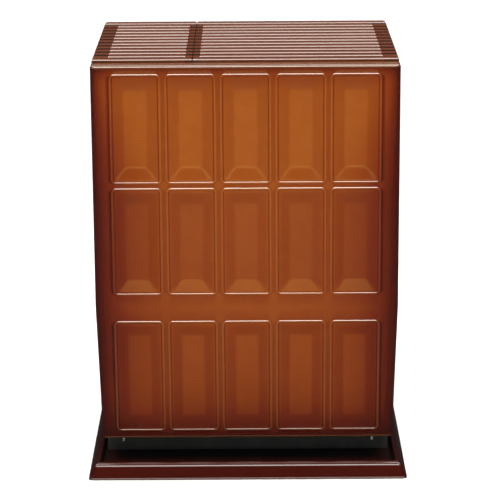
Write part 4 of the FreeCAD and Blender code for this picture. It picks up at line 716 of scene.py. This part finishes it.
def make_looks():
    """A material for each slot of the record."""
    iron = [(0.3, (0.018, 0.018, 0.019)), (0.55, (0.038, 0.037, 0.036)), (0.75, (0.07, 0.055, 0.045))]
    black = [(0.3, (0.046, 0.05, 0.049)), (0.7, (0.062, 0.067, 0.066))]
    paint = [(0.3, (0.085, 0.10, 0.095)), (0.5, (0.11, 0.13, 0.12)), (0.72, (0.14, 0.155, 0.145))]
    brass = [(0.28, (0.28, 0.17, 0.05)), (0.5, (0.56, 0.38, 0.12)), (0.7, (0.68, 0.49, 0.18))]
    copper = [(0.28, (0.22, 0.085, 0.04)), (0.5, (0.55, 0.24, 0.12)), (0.7, (0.72, 0.35, 0.2))]
    zinc = [(0.3, (0.55, 0.55, 0.53)), (0.6, (0.74, 0.74, 0.72)), (0.8, (0.82, 0.81, 0.76))]
    cast = [(0.3, (0.38, 0.385, 0.39)), (0.6, (0.52, 0.52, 0.53)), (0.8, (0.6, 0.6, 0.6))]
    brown = [(0.3, (0.012, 0.007, 0.005)), (0.5, (0.022, 0.012, 0.008)), (0.7, (0.045, 0.022, 0.012))]
    red = [(0.3, (0.38, 0.018, 0.012)), (0.7, (0.5, 0.03, 0.018))]
    mica = [(0.3, (0.62, 0.5, 0.3)), (0.6, (0.8, 0.7, 0.48)), (0.8, (0.88, 0.82, 0.66))]
    clear = [(0.3, (0.86, 0.87, 0.84)), (0.7, (0.95, 0.95, 0.92))]
    return {
        "enamel_front": enamel("enamel_front", None, level=0.9, peel=0.012),
        "enamel_tray": enamel("enamel_tray", None, level=0.5, peel=0.015),
        "enamel_grille": enamel("enamel_grille", grille_shade, level=0.8, peel=0.015, stops=BROWN_GLAZE),
        "enamel_sides": enamel("enamel_sides", side_shade, level=0.6, peel=0.02),
        "black_paint": worn("black_paint", black, (30, 3, 0.3), (0.35, 0.5), (500, 0.15, 0.2 * MM)),
        "galvanised": galvanised("galvanised"),
        "heat_steel": heat_steel("heat_steel"),
        "cast_iron": worn("cast_iron", iron, (24, 4, 0.4), (0.55, 0.75), (900, 0.5, 0.4 * MM), Metallic=0.3),
        "tank_paint": worn("tank_paint", paint, (8, 3, 0.3), (0.28, 0.42), (350, 0.12, 0.2 * MM)),
        "brass": worn("brass", brass, (45, 4, 0.8), (0.22, 0.42), (800, 0.15, 0.1 * MM), Metallic=1.0),
        "copper": worn("copper", copper, (35, 4, 0.9), (0.22, 0.45), (800, 0.15, 0.1 * MM), Metallic=1.0),
        "plated": worn("plated", zinc, (50, 3, 0.3), (0.16, 0.3), (900, 0.1, 0.1 * MM), Metallic=0.45),
        "rope": rope("rope"),
        "mica": sheet_glass("mica", mica, weight=0.6, rough=(0.12, 0.3), flake=70),
        "clear_plastic": sheet_glass("clear_plastic", clear, weight=0.9, rough=(0.05, 0.12), flake=30),
        "bakelite": worn("bakelite", brown, (60, 4, 1.5), (0.2, 0.32), (600, 0.08, 0.1 * MM),
                         Coat_Weight=0.3),
        "red_plastic": worn("red_plastic", red, (50, 2, 0.3), (0.3, 0.42), (700, 0.12, 0.1 * MM)),
        "aluminium": worn("aluminium", cast, (30, 3, 0.3), (0.4, 0.55), (900, 0.4, 0.3 * MM), Metallic=0.95),
        "dial": dial_face("dial"),
    }


def dress(looks, pieces):
    """Gives every CAD node and every new piece the finish of its slot."""
    for node in NODES.values():
        slot = node.data.materials[0].name
        node.data.materials[0] = looks[slot]
    for piece, slot in pieces:
        piece.data.materials.append(looks[slot])


# Camera: sensor and lens in millimetres, place in metres, degrees that it looks down, roll in radians
SENSOR_WIDTH = 36
LENS = 162.53
CAMERA_ASIDE = 6.5 * MM
CAMERA_BEFORE = 4.0
CAMERA_HEIGHT = 1.5066
LOOK_DOWN = 15.078
CAMERA_ROLL = -0.006


def make_camera():
    """The photograph's viewing angle: a long lens, a little above the stove."""
    data = bpy.data.cameras.new("camera")
    data.sensor_width = SENSOR_WIDTH
    data.lens = LENS
    camera = bpy.data.objects.new("camera", data)
    bpy.context.scene.collection.objects.link(camera)
    camera.location = (CAMERA_ASIDE, FRONT_Y - CAMERA_BEFORE, CAMERA_HEIGHT)
    camera.rotation_mode = "ZXY"
    camera.rotation_euler = (math.radians(90 - LOOK_DOWN), 0, CAMERA_ROLL)
    bpy.context.scene.camera = camera


# Half the floor's width
FLOOR_REACH = 30.0


def make_stage():
    """A plain pale floor."""
    mesh = bpy.data.meshes.new("floor")
    corners = [(-1, -1), (1, -1), (1, 1), (-1, 1)]
    mesh.from_pydata([(x * FLOOR_REACH, y * FLOOR_REACH, 0) for x, y in corners], [], [(0, 1, 2, 3)])
    floor = bpy.data.objects.new("floor", mesh)
    bpy.context.scene.collection.objects.link(floor)
    floor.visible_glossy = False
    look, _, shader = new_look("floor_paper")
    set_values(shader, Base_Color=(0.93, 0.93, 0.92, 1), Roughness=0.9, Specular_IOR_Level=0.1)
    mesh.materials.append(look)


# Dome: brightness at the horizon and overhead, and the upward parts of a direction between which it rises
HORIZON_STRENGTH = 0.03
ZENITH_STRENGTH = 0.6
DOME_START = 0.45
DOME_END = 0.95


def make_world():
    """Studio dome: pale overhead, dark towards the horizon."""
    world = bpy.data.worlds.new("studio")
    bpy.context.scene.world = world
    world.use_nodes = True
    tree = world.node_tree
    toward = add_node(tree, "ShaderNodeTexCoord", {}).outputs["Generated"]
    upward = add_node(tree, "ShaderNodeSeparateXYZ", {"Vector": toward}).outputs["Z"]
    strength = map_range(tree, upward, DOME_START, DOME_END, HORIZON_STRENGTH, ZENITH_STRENGTH,
                         interpolation_type="SMOOTHSTEP")
    background = tree.nodes["Background"]
    tree.links.new(strength, background.inputs["Strength"])
    background.inputs["Color"].default_value = (1, 1, 1, 1)


WHITE = (1.0, 1.0, 1.0)
WARM = (1.0, 0.96, 0.88)
AMBER = (1.0, 0.64, 0.2)
# Lamps: name, place, target, width and height in metres, power in watts, colour, and if reflections show it
LAMPS = [
    ("overhead_box", (0, -1.7, 2.6), (0, -0.2, 0.6), (2.4, 0.8), 82, WARM, True),
    ("top_box", (0, 0.3, 2.6), (0, 0.2, 0.7), (2.2, 0.5), 31, WARM, True),
    ("front_box", (0, -4.6, 0.5), (0, 0, 0.4), (2.6, 0.5), 4.2, AMBER, True),
    ("recess_box", (0, -1.1, 0.2), (0, 0, 0), (1.0, 0.08), 1.7, WHITE, False),
    ("side_box", (-1.35, 0.1, 2.4), (-1.35, 0.1, 0), (1.0, 2.2), 26, WHITE, True),
    ("side_box", (1.35, 0.1, 2.4), (1.35, 0.1, 0), (1.0, 2.2), 26, WHITE, True),
    ("backdrop_box", (0, 8, 4), (0, 8, 0), (12, 11), 620, WHITE, False),
]


def add_lamp(name, position, target, size, power, colour, glossy):
    """A rectangular lamp that faces its target and that the camera doesn't see."""
    data = bpy.data.lights.new(name, "AREA")
    data.shape = "RECTANGLE"
    data.size, data.size_y = size
    data.energy = power
    data.color = colour
    lamp = bpy.data.objects.new(name, data)
    bpy.context.scene.collection.objects.link(lamp)
    lamp.location = position
    lamp.rotation_euler = (Vector(target) - Vector(position)).to_track_quat("-Z", "Y").to_euler()
    lamp.visible_camera = False
    lamp.visible_glossy = glossy


def make_lights():
    """The dome, the lamps and plain tones without a film curve."""
    make_world()
    for lamp in LAMPS:
        add_lamp(*lamp)
    bpy.context.scene.view_settings.view_transform = "Standard"


make_camera()
front_sheet = make_front_panel()
tray_sheet = make_floor_tray()
dress(make_looks(), [(front_sheet, "enamel_front"), (tray_sheet, "enamel_tray")])
make_stage()
make_lights()
